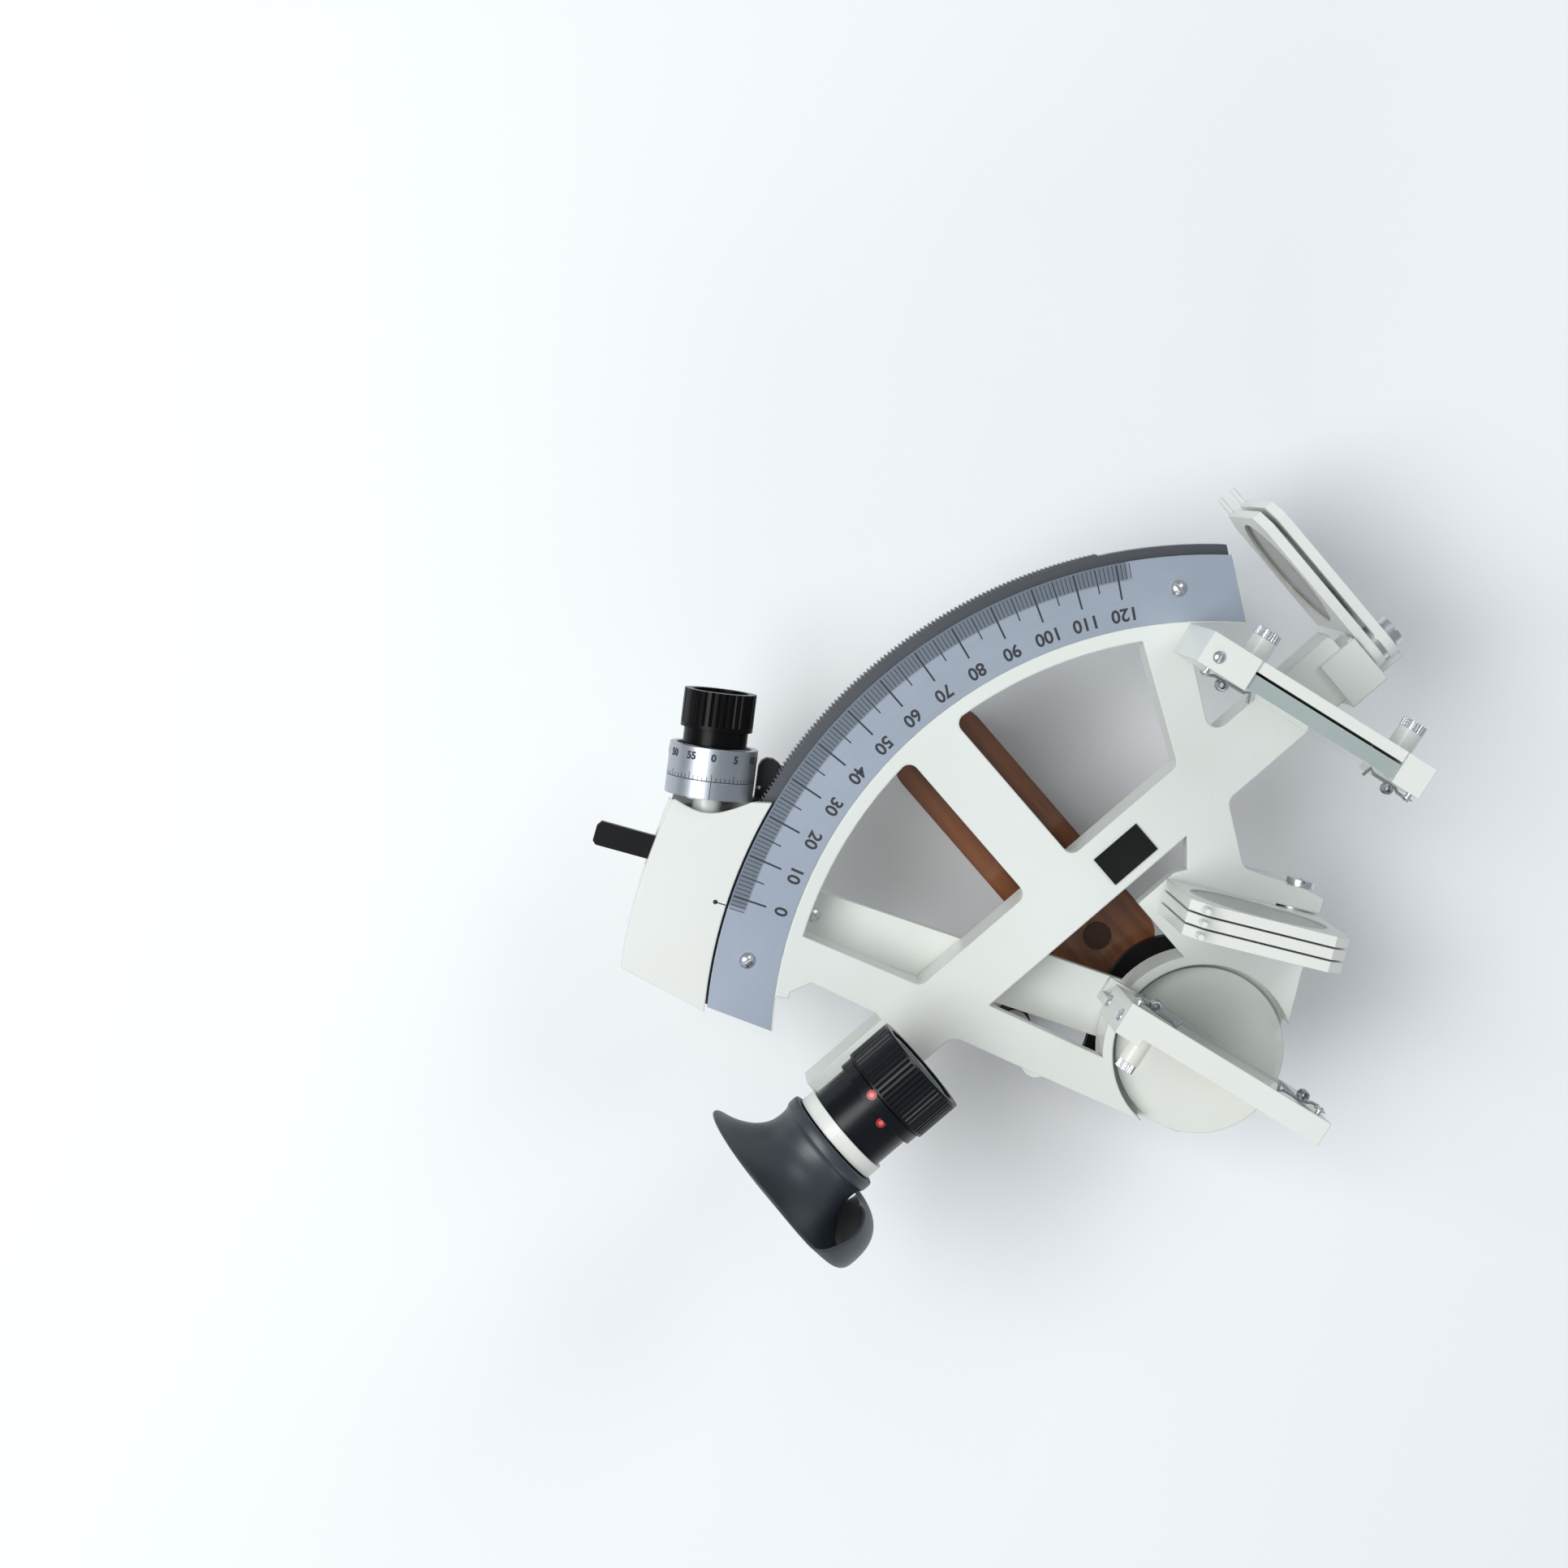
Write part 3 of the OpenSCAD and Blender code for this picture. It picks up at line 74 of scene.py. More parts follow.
def polar(r, deg, z=0.0):
    return Vector((r * math.cos(math.radians(deg)), r * math.sin(math.radians(deg)), z))


def barrel_spot(x, deg, r):
    """The point at x and r from the telescope's axis, deg round it from the top."""
    a = math.radians(deg)
    return place(x, SIGHT_Y + r * math.sin(a), SIGHT_Z + r * math.cos(a))


# Camera and light

def set_camera():
    data = bpy.data.cameras.new("photo_view")
    data.sensor_width = SENSOR
    data.lens = LENS
    data.clip_start = 0.01
    data.clip_end = 20.0
    camera = bpy.data.objects.new("photo_view", data)
    turn = Euler([math.radians(angle) for angle in EYE_TURN]).to_matrix().to_4x4()
    camera.matrix_world = Matrix.Translation(place(*EYE)) @ turn
    bpy.context.scene.collection.objects.link(camera)
    bpy.context.scene.camera = camera


def add_soft_light(name, spot, aim, size, power, colour):
    data = bpy.data.lights.new(name, "AREA")
    data.shape = "RECTANGLE"
    data.size, data.size_y = size
    data.energy = power
    data.color = colour
    lamp = bpy.data.objects.new(name, data)
    lamp.location = spot
    lamp.rotation_euler = (Vector(aim) - Vector(spot)).to_track_quat("-Z", "Y").to_euler()
    bpy.context.scene.collection.objects.link(lamp)


def light_studio():
    world = bpy.data.worlds.new("studio")
    bpy.context.scene.world = world
    world.use_nodes = True
    sky = world.node_tree.nodes["Background"]
    sky.inputs["Color"].default_value = (0.86, 0.93, 1.0, 1.0)
    sky.inputs["Strength"].default_value = 0.36
    for lamp in LAMPS:
        add_soft_light(*lamp)
    bpy.context.scene.view_settings.view_transform = "Standard"


# Finishes

class Wire:
    """One value in a finish's tree; arithmetic on it adds the nodes."""

    def __init__(self, finish, socket):
        self.finish, self.socket = finish, socket

    def calc(self, operation, *others):
        return self.finish.math(operation, self, *others)

    def __add__(self, other):
        return self.calc("ADD", other)

    def __radd__(self, other):
        return self.calc("ADD", other)

    def __sub__(self, other):
        return self.calc("SUBTRACT", other)

    def __rsub__(self, other):
        return self.finish.math("SUBTRACT", other, self)

    def __mul__(self, other):
        return self.calc("MULTIPLY", other)

    def __rmul__(self, other):
        return self.calc("MULTIPLY", other)

    def clamp(self):
        return self.calc("MAXIMUM", 0.0).calc("MINIMUM", 1.0)


class Finish:
    """A procedural material round one Principled shader."""

    def __init__(self, name, colour, roughness, metallic=0.0, **fixed):
        self.material = bpy.data.materials.new(name)
        self.material.use_nodes = True
        self.tree = self.material.node_tree
        self.shader = self.tree.nodes["Principled BSDF"]
        self.surface({"Base Color": (*colour, 1.0), "Roughness": roughness, "Metallic": metallic})
        self.surface({key.replace("_", " "): value for key, value in fixed.items()})

    def node(self, kind, settings, inputs):
        made = self.tree.nodes.new(kind)
        for key, value in (settings or {}).items():
            if key == "stops":
                ramp = made.color_ramp
                while len(ramp.elements) < len(value):
                    ramp.elements.new(0.5)
                for element, (spot, shade) in zip(ramp.elements, value):
                    element.position = spot
                    element.color = (shade, shade, shade, 1.0)
            else:
                setattr(made, key, value)
        for key, value in (inputs or {}).items():
            self.feed(made.inputs[key], value)
        return made

    def feed(self, socket, value):
        if isinstance(value, Wire):
            self.tree.links.new(value.socket, socket)
        else:
            socket.default_value = value

    def wire(self, kind, settings=None, inputs=None, out=0):
        return Wire(self, self.node(kind, settings, inputs).outputs[out])

    def math(self, operation, *values):
        return self.wire("ShaderNodeMath", {"operation": operation}, dict(enumerate(values)))

    def surface(self, inputs):
        for key, value in inputs.items():
            self.feed(self.shader.inputs[key], value)

    def spot(self):
        return self.wire("ShaderNodeTexCoord", out="Object")

    def stretched(self, scale):
        return self.wire("ShaderNodeMapping", None, {"Vector": self.spot(), "Scale": scale})

    def noise(self, vector, scale, detail, rough=0.55, warp=0.0):
        return self.wire("ShaderNodeTexNoise", None,
                         {"Vector": vector, "Scale": scale, "Detail": detail, "Roughness": rough,
                          "Distortion": warp})

    def ramp(self, value, stops):
        return self.wire("ShaderNodeValToRGB", {"stops": stops}, {"Fac": value})

    def blend(self, mask, first, second):
        first, second = (value if isinstance(value, Wire) else (*value, 1.0)
                         for value in (first, second))
        return self.wire("ShaderNodeMix", {"data_type": "RGBA"}, {0: mask, 6: first, 7: second},
                         out=2)

    def relief(self, height, strength, distance, edge=0.0):
        """Bumps up to distance high, over corners rounded by edge; both in metres."""
        inputs = {"Height": height, "Strength": strength, "Distance": distance}
        if edge:
            inputs["Normal"] = self.rounded(edge)
        self.surface({"Normal": self.wire("ShaderNodeBump", None, inputs)})

    def rounded(self, radius):
        return self.wire("ShaderNodeBevel", {"samples": 4}, {"Radius": radius})


def enamel(name, colour, edge=0.0005):
    f = Finish(name, colour, 0.34, Coat_Weight=0.25, Coat_Roughness=0.12)
    spot = f.spot()
    cloud = f.noise(spot, 24, 4)
    fleck = f.noise(spot, 900, 2)
    shade = f.blend(f.ramp(cloud, [(0.35, 0.0), (0.68, 1.0)]), colour,
                    (colour[0] * 0.955, colour[1] * 0.95, colour[2] * 0.925))
    dust = f.ramp(fleck, [(0.70, 0.0), (0.80, 1.0)])
    f.surface({"Base Color": f.blend(dust * 0.35, shade, (0.48, 0.46, 0.40)),
               "Roughness": 0.28 + cloud * 0.16})
    f.relief(f.noise(spot, 420, 3) + fleck * 0.3, 0.10, 0.00012, edge)
    return f.material


def turned_metal(name, colour, roughness, lines, metallic=1.0, edge=0.0002):
    """Metal with fine marks along the directions squeezed by lines."""
    f = Finish(name, colour, roughness, metallic)
    marks = f.noise(f.stretched(lines), 60, 4, 0.7)
    smear = f.noise(f.spot(), 60, 3)
    f.surface({"Base Color": f.blend(smear, colour, tuple(c * 0.86 for c in colour)),
               "Roughness": roughness - 0.06 + marks * 0.14 + smear * 0.05})
    f.relief(marks, 0.12, 0.00005, edge)
    return f.material


def scale_silver():
    """Satin plate with marks that run round the arc; the divided band by its rim is darker."""
    colour, light, band = (0.355, 0.40, 0.475), (0.475, 0.53, 0.615), (0.17, 0.20, 0.245)
    band_r = (ARC_TICKS[-1][1] - 0.5) * MM
    band_low = math.radians(ARM_DEG - (ARC_END + ARC_SPARE) / 2 - 0.11)
    band_high = math.radians(ARM_DEG + ARC_SPARE / 2 + 0.11)
    f = Finish("scale_plate_satin", colour, 0.36, 0.55)
    parts = f.node("ShaderNodeSeparateXYZ", None, {"Vector": f.spot()})
    x = Wire(f, parts.outputs[0]) - PIVOT.x * MM
    y = Wire(f, parts.outputs[1]) - PIVOT.y * MM
    radius = f.math("SQRT", x * x + y * y)
    angle = f.math("ARCTAN2", y, x)
    around = f.wire("ShaderNodeCombineXYZ", None, {"X": radius * 1400, "Y": angle * 2.2})
    marks = f.noise(around, 3.2, 5, 0.75)
    cloud = f.noise(f.spot(), 30, 3)
    outer = f.ramp((radius - band_r) * 1800, [(0.0, 0.0), (1.0, 1.0)])
    inside = ((angle - band_low) * 80).clamp() * ((band_high - angle) * 80).clamp()
    shade = f.blend(marks * 0.6 + cloud * 0.4, colour, light)
    f.surface({"Base Color": f.blend(outer * inside * 0.85, shade, band),
               "Roughness": 0.30 + marks * 0.12 + cloud * 0.06})
    f.relief(marks, 0.08, 0.00004, 0.00015)
    return f.material


def varnished_wood():
    # The wood's tones are set dark, partly the wood's own colour and partly painted shade for the
    # shadow the handle lies in behind the frame
    dark, mid, light = (0.045, 0.014, 0.006), (0.115, 0.034, 0.010), (0.215, 0.072, 0.021)
    f = Finish("handle_varnished_wood", mid, 0.28, Coat_Weight=0.7, Coat_Roughness=0.08)
    grain = f.noise(f.stretched((9, 0.7, 9)), 26, 8, 0.62, 0.6)
    rings = f.wire("ShaderNodeTexWave", {"bands_direction": "X", "wave_profile": "SIN"},
                   {"Vector": f.stretched((1.0, 0.08, 0.6)), "Scale": 70, "Distortion": 7.0,
                    "Detail": 4.0, "Detail Scale": 2.0}, out=1)
    pores = f.ramp(f.noise(f.stretched((60, 2.4, 60)), 40, 2), [(0.60, 0.0), (0.72, 1.0)])
    body = f.blend(rings * 0.55 + grain * 0.45, mid, light)
    f.surface({"Base Color": f.blend(pores * 0.6, body, dark),
               "Roughness": 0.24 + grain * 0.12})
    f.relief(grain * 0.5 - pores * 0.5, 0.12, 0.0001)
    return f.material


def soft_rubber():
    colour = (0.026, 0.034, 0.043)
    f = Finish("eyecup_rubber", colour, 0.40, Specular_IOR_Level=0.7)
    cloud = f.noise(f.spot(), 45, 4)
    bloom = f.ramp(f.noise(f.spot(), 90, 5, 0.7), [(0.5, 0.0), (0.75, 1.0)])
    f.surface({"Base Color": f.blend(bloom * 0.35, colour, (0.06, 0.072, 0.085)),
               "Roughness": 0.35 + cloud * 0.14})
    f.relief(f.noise(f.spot(), 700, 3), 0.15, 0.00008)
    return f.material


def black_gloss(name, colour, roughness, shine=0.3):
    f = Finish(name, colour, roughness, Specular_IOR_Level=shine)
    smear = f.noise(f.spot(), 70, 5, 0.65)
    worn = f.ramp(f.noise(f.spot(), 240, 4, 0.7), [(0.66, 0.0), (0.8, 1.0)])
    f.surface({"Base Color": f.blend(worn * 0.5, colour, tuple(c * 3.2 for c in colour)),
               "Roughness": roughness + smear * 0.16})
    f.relief(f.noise(f.spot(), 900, 2), 0.06, 0.00005, 0.0002)
    return f.material


def silvered_glass():
    # The pale green diffuse colour, with the metal only half on, is painted reflection: it stands
    # for the bright room the mirrors show, over the glass's own faint green tint
    colour, light = (0.55, 0.63, 0.60), (0.64, 0.71, 0.69)
    f = Finish("mirror_plate_glass", colour, 0.04, 0.55, Coat_Weight=1.0)
    haze = f.noise(f.spot(), 120, 4)
    f.surface({"Base Color": f.blend(haze, colour, light), "Roughness": 0.03 + haze * 0.05})
    return f.material


def tinted_glass(name, colour, see_through, roughness=0.06):
    f = Finish(name, colour, roughness, Alpha=1.0 - see_through, Coat_Weight=0.6)
    haze = f.noise(f.spot(), 90, 4)
    f.surface({"Base Color": f.blend(haze, colour, tuple(min(1.0, c * 1.2) for c in colour)),
               "Roughness": roughness + haze * 0.05})
    return f.material


def ink():
    colour = (0.022, 0.024, 0.030)
    f = Finish("mark_ink", colour, 0.5)
    worn = f.noise(f.spot(), 500, 4)
    f.surface({"Base Color": f.blend(worn * 0.4, colour, tuple(c * 2.5 for c in colour)),
               "Roughness": 0.42 + worn * 0.2})
    return f.material


def floor_finish():
    colour, light = (0.84, 0.855, 0.87), (0.87, 0.88, 0.89)
    f = Finish("pale_table", colour, 0.45)
    cloud = f.noise(f.spot(), 3.0, 3)
    f.surface({"Base Color": f.blend(cloud, colour, light),
               "Roughness": 0.40 + cloud * 0.1})
    return f.material


def assign(finish, *nodes):
    for name in nodes:
        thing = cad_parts[name]
        thing.data.materials.clear()
        thing.data.materials.append(finish)


def dress_cad():
    assign(enamel("frame_enamel", (0.755, 0.775, 0.735), 0.0007), "frame_casting")
    assign(enamel("arm_enamel", (0.745, 0.765, 0.72)), "index_arm", "legs", "mirror_disc")
    assign(enamel("holder_enamel", (0.76, 0.775, 0.735), 0.0004), "index_mirror_holder",
           "horizon_mirror_holder", "telescope_collar")
    assign(enamel("housing_enamel", (0.775, 0.79, 0.76), 0.0006), "index_housing", "worm_carrier")
    assign(enamel("shade_enamel", (0.77, 0.785, 0.75), 0.0003), "index_shade_1", "index_shade_2",
           "index_shade_3", "horizon_shade_1", "horizon_shade_2")
    assign(scale_silver(), "scale_plate")
    assign(turned_metal("screw_steel", (0.72, 0.73, 0.75), 0.26, (1, 1, 8)),
           "scale_plate_screws", "index_mirror_screws", "horizon_mirror_screws",
           "housing_screws", "handle_screws",
           "index_shade_pin", "horizon_shade_pin", "carrier_pivot", "arm_nut", "arm_shaft",
           "worm_spindle", "index_shade_washers", "horizon_shade_washers")
    assign(turned_metal("adjuster_steel", (0.70, 0.71, 0.73), 0.22, (6, 1, 6)), "index_adjuster",
           "horizon_adjuster_upper", "horizon_adjuster_lower")
    assign(turned_metal("spring_wire_steel", (0.40, 0.41, 0.43), 0.30, (1, 1, 1)),
           "index_mirror_springs", "horizon_mirror_springs", "carrier_spring")
    assign(turned_metal("cut_rack_steel", (0.125, 0.132, 0.145), 0.40, (1, 1, 7), 0.8),
           "tangent_rack", "tangent_worm")
    assign(turned_metal("bearing_brass", (0.62, 0.45, 0.22), 0.32, (1, 1, 6)), "bearing_bush",
           "spindle_bush")
    assign(turned_metal("drum_satin", (0.45, 0.48, 0.52), 0.35, (8, 8, 1), 0.9, 0.0003),
           "micrometer_drum", "index_ring")
    assign(turned_metal("cell_rim", (0.80, 0.81, 0.83), 0.16, (8, 1, 1)), "objective_cell")
    assign(silvered_glass(), "index_mirror_glass", "horizon_mirror_glass")
    # The two horizon shades' brown is partly their own tint and partly painted reflection of warm
    # brown surroundings
    for node, colour in (("index_shade_glass_1", (0.10, 0.12, 0.12)),
                         ("index_shade_glass_2", (0.14, 0.16, 0.16)),
                         ("index_shade_glass_3", (0.22, 0.25, 0.25)),
                         ("horizon_shade_glass_1", (0.15, 0.115, 0.09)),
                         ("horizon_shade_glass_2", (0.085, 0.062, 0.048))):
        assign(tinted_glass(node + "_tint", colour, 0.22), node)
    assign(tinted_glass("coated_lens", (0.10, 0.13, 0.17), 0.45, 0.02), "objective_lens",
           "eyepiece_lens")
    assign(black_gloss("barrel_black", (0.003, 0.0045, 0.0065), 0.17, 0.26), "telescope_tube",
           "focus_ring")
    assign(black_gloss("knob_black", (0.003, 0.003, 0.0032), 0.20, 0.11), "drum_knob")
    assign(black_gloss("plug_brown", (0.045, 0.021, 0.010), 0.42), "handle_plug")
    assign(black_gloss("lever_black", (0.004, 0.004, 0.0045), 0.34, 0.2), "release_lever",
           "handle_bracket")
    assign(black_gloss("plate_black", (0.005, 0.005, 0.0045), 0.28), "name_plate")
    assign(varnished_wood(), "handle_grip")


# Pieces

def piece(name, mesh, finish, body):
    thing = bpy.data.objects.new(name, mesh)
    bpy.context.scene.collection.objects.link(thing)
    mesh.materials.clear()
    mesh.materials.append(finish)
    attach(thing, body)
    return thing


def outline_mesh(name, outlines):
    """A mesh with one flat face for each outline."""
    mesh = bpy.data.meshes.new(name)
    points, faces = [], []
    for outline in outlines:
        faces.append(tuple(range(len(points), len(points) + len(outline))))
        points.extend(outline)
    mesh.from_pydata([tuple(p) for p in points], [], faces)
    return mesh


def outward(mesh):
    """Makes a mesh's faces agree, outward where it is closed, and shades them smooth."""
    bm = bmesh.new()
    bm.from_mesh(mesh)
    bmesh.ops.recalc_face_normals(bm, faces=bm.faces)
    for face in bm.faces:
        face.smooth = True
    bm.to_mesh(mesh)
    bm.free()


def ring_faces(turns, n):
    """Quads that join each closed section of n points to the next, all the way round."""
    faces = []
    for k in range(turns):
        a, b = k * n, (k + 1) % turns * n
        faces += [(a + j, a + (j + 1) % n, b + (j + 1) % n, b + j) for j in range(n)]
    return faces


def arc_tick(deg, inner, outer, width):
    """Corners of a mark on the plate that points away from the pivot."""
    out = polar(1, deg)
    side = Vector((-out.y, out.x, 0)) * width / 2
    lift = Vector((0, 0, LIFT))
    return [place(*(out * r + side * s + lift))
            for r, s in ((inner, -1), (outer, -1), (outer, 1), (inner, 1))]


def text_mesh(words, size, weight):
    """Flat lettering of that size, its strokes widened by weight."""
    curve = bpy.data.curves.new("lettering", "FONT")
    curve.body = words
    curve.size = size * MM
    curve.offset = weight * MM
    curve.align_x = "CENTER"
    curve.align_y = "CENTER"
    curve.resolution_u = 4
    carrier = bpy.data.objects.new("lettering", curve)
    bpy.context.scene.collection.objects.link(carrier)
    bpy.context.view_layer.update()
    graph = bpy.context.evaluated_depsgraph_get()
    mesh = bpy.data.meshes.new_from_object(carrier.evaluated_get(graph))
    bpy.data.objects.remove(carrier)
    return mesh


def joined(name, parts):
    """One mesh from several (mesh, matrix) pairs."""
    bm = bmesh.new()
    for mesh, where in parts:
        copy = mesh.copy()
        copy.transform(where)
        bm.from_mesh(copy)
        bpy.data.meshes.remove(copy)
    whole = bpy.data.meshes.new(name)
    bm.to_mesh(whole)
    bm.free()
    return whole


# Size and weight of the plate's and the drum's numbers
ARC_TEXT, DRUM_TEXT = (4.5, 0.11), (2.5, 0.12)


def graduate_arc(dark):
    ticks = []
    for degree in range(-ARC_SPARE, ARC_END + ARC_SPARE + 1):
        inner, width = next(tick[1:] for tick in ARC_TICKS if degree % tick[0] == 0)
        ticks.append(arc_tick(ARM_DEG - degree / 2, inner, ARC_OUTER, width))
    marks = outline_mesh("arc_graduations", ticks)
    piece("arc_graduations", marks, dark, "frame")
    numbers = []
    for degree in range(0, ARC_END + 1, 10):
        deg = ARM_DEG - degree / 2
        spot = Matrix.Translation(place(*polar(NUMBER_R, deg, LIFT)))
        numbers.append((text_mesh(str(degree), *ARC_TEXT),
                        spot @ Matrix.Rotation(math.radians(deg + 90), 4, "Z")))
    piece("arc_numbers", joined("arc_numbers", numbers), dark, "frame")


def index_mark(dark):
    """A dot on the housing and the short line from it to the plate."""
    deg, line_in, line_out, dot_r = 121.3, 125.72, 128.4, 0.6
    heart = polar(line_out, deg, LIFT)
    dot = [place(*(heart + polar(dot_r, a))) for a in range(0, 360, 20)]
    line = arc_tick(deg, line_in, line_out, 0.3)
    piece("index_mark", outline_mesh("index_mark", [dot, line]), dark, "index_arm")


def worm_frame():
    """Matrix of the worm's axes: x along the spindle towards the knob."""
    turn = Matrix.Rotation(math.radians(WORM_DEG - 90), 4, "Z")
    return Matrix.Translation(place(*polar(WORM_R, WORM_DEG, WORM_Z))) @ turn


# The drum's printed face, and where its scale, its numbers and the ring's index line lie along
# the spindle
DRUM_R, DRUM_START, DRUM_NUMBERS = 11.03, 53.95, 59.65
RING_LINE = (49.5, 53.7)
# Length of the drum's short and long ticks, and half the width of a tick and of the ring's line
# in degrees
SHORT_TICK, LONG_TICK, TICK_HALF, LINE_HALF = 1.0, 1.7, 0.42, 0.5


def drum_mark(at_worm, start, end, deg, half):
    """Corners of a mark on the drum's face, half a width in degrees to each side of deg."""
    corners = []
    for x, side in ((start, -1), (end, -1), (end, 1), (start, 1)):
        turn = math.radians(deg + side * half)
        spot = Vector((x, DRUM_R * math.cos(turn), DRUM_R * math.sin(turn)))
        corners.append(at_worm @ (spot * MM))
    return corners


def graduate_drum(dark):
    at_worm = worm_frame()
    ticks = []
    for minute in range(60):
        end = DRUM_START + (SHORT_TICK if minute % 5 else LONG_TICK)
        ticks.append(drum_mark(at_worm, DRUM_START, end, minute * 6 + 90, TICK_HALF))
    piece("drum_ticks", outline_mesh("drum_ticks", ticks), dark, "drum")
    on_drum = Matrix.Translation(Vector((DRUM_NUMBERS, 0, DRUM_R)) * MM)
    lay = on_drum @ Matrix.Rotation(math.radians(-90), 4, "Z")
    numbers = []
    for minute in range(0, 60, 5):
        turn = at_worm @ Matrix.Rotation(math.radians(minute * 6), 4, "X")
        numbers.append((text_mesh(str(minute), *DRUM_TEXT), turn @ lay))
    piece("drum_numbers", joined("drum_numbers", numbers), dark, "drum")
    line = outline_mesh("drum_index_line", [drum_mark(at_worm, *RING_LINE, 90, LINE_HALF)])
    piece("drum_index_line", line, dark, "worm_carrier")


# The eyecup's section, outside first, as (distance from the collar, radius): the flange and
# neck, then the flare on its upper side and the rolled-back lip on its lower side, and its bore
CUP_NECK = [(0.15, 11.6), (0.1, 13.7), (0.35, 14.0), (2.6, 14.0), (2.95, 13.8), (3.7, 13.25),
            (5.0, 13.05)]
CUP_FLARE = [(6.9, 13.1), (8.9, 13.5), (10.9, 14.5), (12.7, 15.9), (14.1, 17.5), (15.3, 19.2),
             (16.3, 21.0), (17.0, 22.6), (17.6, 24.1)]
CUP_ROLL = [(6.9, 13.1), (9.6, 13.9), (12.4, 15.5), (15.0, 17.8), (17.1, 20.4), (18.3, 22.9),
            (17.6, 24.3), (14.6, 24.45), (11.4, 24.1), (8.6, 22.9), (6.6, 20.8), (5.6, 18.3),
            (5.9, 16.4)]
CUP_BORE = [(4.2, 11.75), (0.6, 11.5)]
# The wall, how much thinner it gets over the last steps to the lip, and the lip's rounding
CUP_WALL, LIP_THINNING, LIP_STEPS, LIP_ROUND = 1.2, 0.35, 12, 0.45
# Degrees from the rolled side over which the roll turns into the flare and loses its reach
ROLL_FADE, REACH_FADE, REACH_LOST = (55, 100), (20, 66), 0.57
CUP_STEPS, CUP_TURNS = 26, 120


def smooth(x, low, high):
    t = min(1.0, max(0.0, (x - low) / (high - low)))
    return t * t * (3 - 2 * t)


def along(points, t):
    """The point a part t of the way along a smooth curve through points."""
    spot = t * (len(points) - 1)
    k = min(int(spot), len(points) - 2)
    f = spot - k
    p0, p1 = points[max(k - 1, 0)], points[k]
    p2, p3 = points[k + 1], points[min(k + 2, len(points) - 1)]
    return [0.5 * (2 * b + (c - a) * f + (2 * a - 5 * b + 4 * c - d) * f * f
                   + (3 * b - a - 3 * c + d) * f ** 3)
            for a, b, c, d in zip(p0, p1, p2, p3)]


def cup_section(deg):
    """Closed section of the cup at deg round the axis from the top; -90 is the rolled side."""
    off = abs((deg + 90 + 180) % 360 - 180)
    roll = 1 - smooth(off, *ROLL_FADE)
    reach = 1 - REACH_LOST * smooth(off, *REACH_FADE)
    outer = list(CUP_NECK)
    for k in range(CUP_STEPS + 1):
        flare, rolled = along(CUP_FLARE, k / CUP_STEPS), along(CUP_ROLL, reach * k / CUP_STEPS)
        outer.append(tuple(a + (b - a) * roll for a, b in zip(flare, rolled)))
    inner = []
    for k, (x, r) in enumerate(outer):
        before, after = outer[max(k - 1, 0)], outer[min(k + 1, len(outer) - 1)]
        dx, dr = after[0] - before[0], after[1] - before[1]
        long = math.hypot(dx, dr)
        wall = CUP_WALL - LIP_THINNING * smooth(k, CUP_STEPS - LIP_STEPS, len(outer) - 1)
        inner.append((x + dr / long * wall, r - dx / long * wall))
    inner = inner[len(CUP_NECK):]
    lip_out, lip_in = outer[-1], inner[-1]
    ahead = ((lip_out[0] - outer[-2][0]), (lip_out[1] - outer[-2][1]))
    size = math.hypot(*ahead)
    edge = tuple((a + b) / 2 + d / size * LIP_ROUND for a, b, d in zip(lip_out, lip_in, ahead))
    return outer + [edge] + inner[::-1] + CUP_BORE


def eyecup(finish):
    points = []
    for k in range(CUP_TURNS):
        deg = 360 * k / CUP_TURNS
        section = cup_section(deg)
        points += [barrel_spot(CUP_X - x, deg, r) for x, r in section]
    mesh = bpy.data.meshes.new("eyecup_moulding")
    mesh.from_pydata([tuple(p) for p in points], [], ring_faces(CUP_TURNS, len(section)))
    mesh.update()
    outward(mesh)
    cup = piece("eyecup_moulding", mesh, finish, "eyecup")
    soft = cup.modifiers.new("soft", "SUBSURF")
    soft.levels = soft.render_levels = 1
    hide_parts("eyecup")


def turned(section, centre, steps=72):
    """A solid turned about the upright line at centre from its (radius, height) section."""
    points = []
    for k in range(steps):
        a = 2 * math.pi * k / steps
        points += [(centre[0] + r * MM * math.cos(a), centre[1] + r * MM * math.sin(a), h * MM)
                   for r, h in section]
    mesh = bpy.data.meshes.new("turned")
    mesh.from_pydata(points, [], ring_faces(steps, len(section)))
    outward(mesh)
    return mesh


# A rubber foot as (radius, height): flat sole, rounded heel, two moulded grooves and a lip that
# grips the leg; and where the legs stand
TIP_SECTION = [(0.3, 0.45), (2.2, 0.4), (2.6, 0.02), (4.1, 0.02), (4.6, 0.3), (4.78, 0.9),
               (4.76, 2.3), (4.45, 2.5), (4.45, 2.8), (4.72, 3.0), (4.68, 4.4), (4.38, 4.6),
               (4.38, 4.9), (4.62, 5.1), (4.5, 7.4), (4.3, 7.85), (4.03, 7.95), (4.03, 5.0),
               (0.3, 5.0)]
LEG_SPOTS = (polar(113, 131.7), polar(113, 48.3), Vector((-33, 25, 0)))


def rubber_tips(finish):
    tips = [(turned(TIP_SECTION, place(*spot)), Matrix.Identity(4)) for spot in LEG_SPOTS]
    whole = piece("leg_tip_mouldings", joined("leg_tip_mouldings", tips), finish, "frame")
    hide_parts("leg_tips")


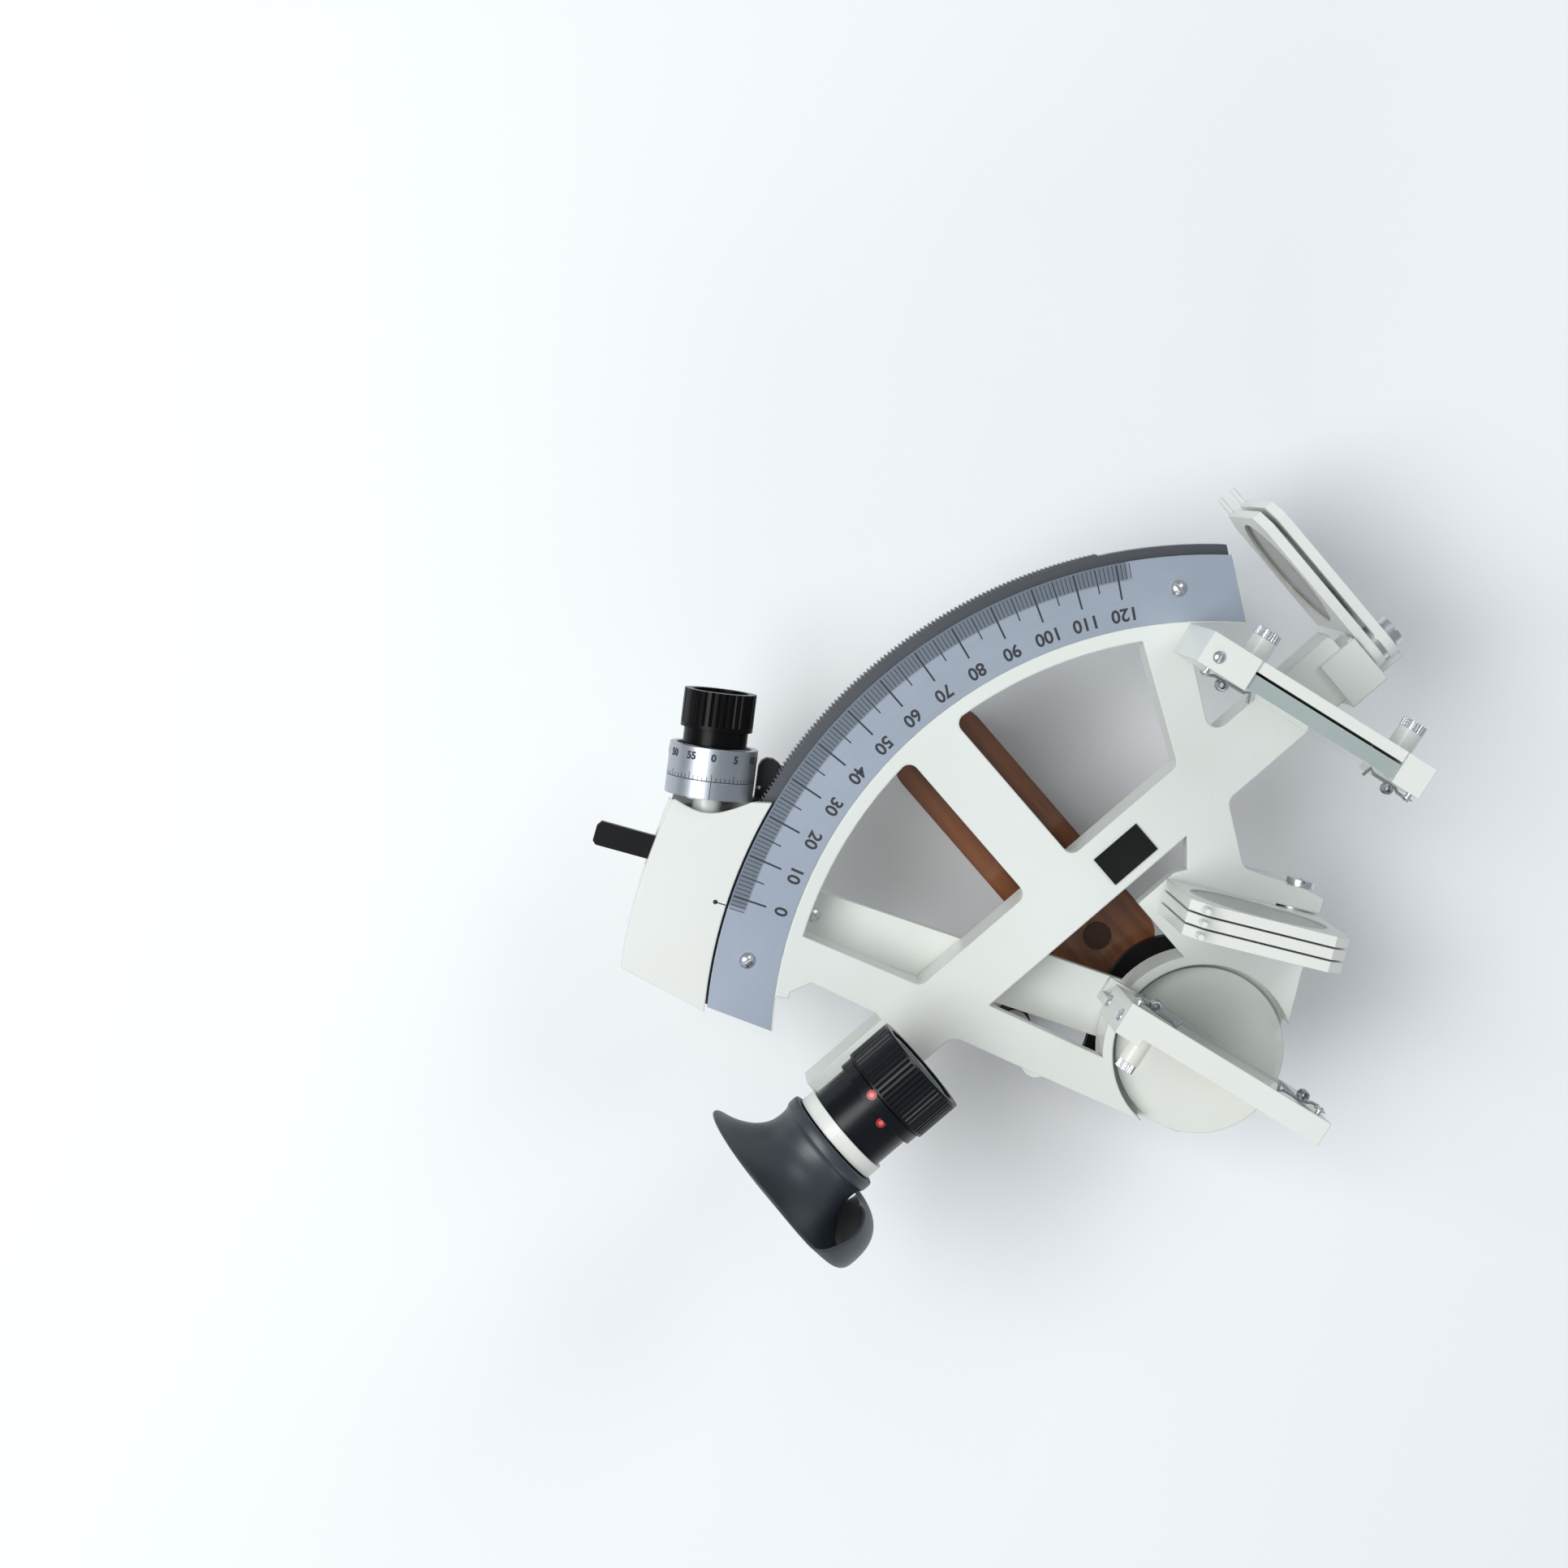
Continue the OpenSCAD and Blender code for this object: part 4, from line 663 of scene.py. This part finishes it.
# The lug between the drum and the rack: the face along the limb, just clear of it and under the
# rack's teeth; its other side in the worm's axes; its lowest and highest face; and its screw
SHOE_R, SHOE_DEG = 127.0, (110.4, 109.2, 108.1, 107.0, 105.9, 105.0)
SHOE_SIDE = ((59.0, -16.6), (59.8, -15.1), (59.8, -13.5), (59.0, -12.3), (57.6, -11.7),
             (49.6, -11.6), (49.0, -10.9), (46.3, -10.6))
SHOE_LOW, SHOE_HIGH = -15.0, -11.0
SHOE_SCREW = (52.2, -12.5)
# Its edges that turn by more than so many radians are rounded
SHOE_SHARP, SHOE_ROUND = 0.6, 0.35
# The screw's section, as (radius, height over the lug)
SHOE_DOME = ((0.02, -0.3), (0.62, -0.3), (0.62, 0.1), (0.5, 0.3), (0.28, 0.42), (0.02, 0.45))


def limb_shoe(finish, steel):
    """A dark lug on the arm's end, between the index ring and the rack, with a small screw."""
    at_worm = worm_frame()
    outline = [place(*polar(SHOE_R, deg)) for deg in SHOE_DEG]
    outline += [at_worm @ (Vector((x, y, 0)) * MM) for x, y in SHOE_SIDE]
    n = len(outline)
    points = [(p.x, p.y, place(0, 0, z).z) for z in (SHOE_LOW, SHOE_HIGH) for p in outline]
    faces = [tuple(reversed(range(n))), tuple(range(n, 2 * n))]
    faces += [(j, (j + 1) % n, n + (j + 1) % n, n + j) for j in range(n)]
    mesh = bpy.data.meshes.new("limb_shoe")
    mesh.from_pydata(points, [], faces)
    bm = bmesh.new()
    bm.from_mesh(mesh)
    bmesh.ops.recalc_face_normals(bm, faces=bm.faces)
    sharp = [edge for edge in bm.edges if edge.calc_face_angle(0) > SHOE_SHARP]
    bmesh.ops.bevel(bm, geom=sharp, offset=SHOE_ROUND * MM, segments=2, profile=0.6,
                    affect="EDGES", clamp_overlap=True)
    bm.to_mesh(mesh)
    bm.free()
    piece("limb_shoe", mesh, finish, "index_arm")
    top = place(0, 0, SHOE_HIGH).z / MM
    dome = [(r, top + h) for r, h in SHOE_DOME]
    head = at_worm @ (Vector((*SHOE_SCREW, 0)) * MM)
    piece("limb_shoe_screw", turned(dome, head, 32), steel, "index_arm")


# Each red dot as (x, y, radius of what carries it), and the corners and crown of its disc
DOTS = ((-66.3, 53.8, BAND_R), (-69.1, 47.1, TUBE_R))
DOT_CORNERS, DOT_CROWN = 24, 0.06


def barrel_dots():
    """Two red dots in shallow rings, bent to the barrel and to its raised band."""
    red = enamel("dot_red", (0.42, 0.015, 0.02))
    pink = enamel("dot_heart", (0.78, 0.17, 0.16))
    fan = [(0, 1 + j, 1 + (j + 1) % DOT_CORNERS) for j in range(DOT_CORNERS)]
    for k, (x, y, r) in enumerate(DOTS):
        deg = math.degrees(math.asin((y - SIGHT_Y) / r))
        for name, finish, size, lift in (("ring", red, 1.25, 0.03), ("heart", pink, 0.62, 0.06)):
            points = [barrel_spot(x, deg, r + lift + DOT_CROWN)]
            for turn in range(DOT_CORNERS):
                a = 2 * math.pi * turn / DOT_CORNERS
                points.append(barrel_spot(x + size * math.cos(a),
                                          deg + math.degrees(size * math.sin(a) / r), r + lift))
            mesh = bpy.data.meshes.new("barrel_dot")
            mesh.from_pydata([tuple(p) for p in points], [], fan)
            outward(mesh)
            piece("barrel_dot_%s_%d" % (name, k + 1), mesh, finish, "frame")


def set_table():
    corners = [Vector((x, y, 0)) * TABLE_HALF for x, y in ((-1, -1), (1, -1), (1, 1), (-1, 1))]
    mesh = outline_mesh("table_top", [corners])
    mesh.materials.append(floor_finish())
    floor = bpy.data.objects.new("table_top", mesh)
    bpy.context.scene.collection.objects.link(floor)


def build():
    set_camera()
    light_studio()
    set_table()
    dress_cad()
    dark = ink()
    graduate_arc(dark)
    index_mark(dark)
    graduate_drum(dark)
    eyecup(soft_rubber())
    rubber_tips(black_gloss("tip_rubber", (0.02, 0.021, 0.022), 0.5))
    limb_shoe(black_gloss("shoe_black", (0.018, 0.019, 0.019), 0.46),
              turned_metal("small_screw_steel", (0.70, 0.71, 0.73), 0.28, (1, 1, 8)))
    barrel_dots()


build()
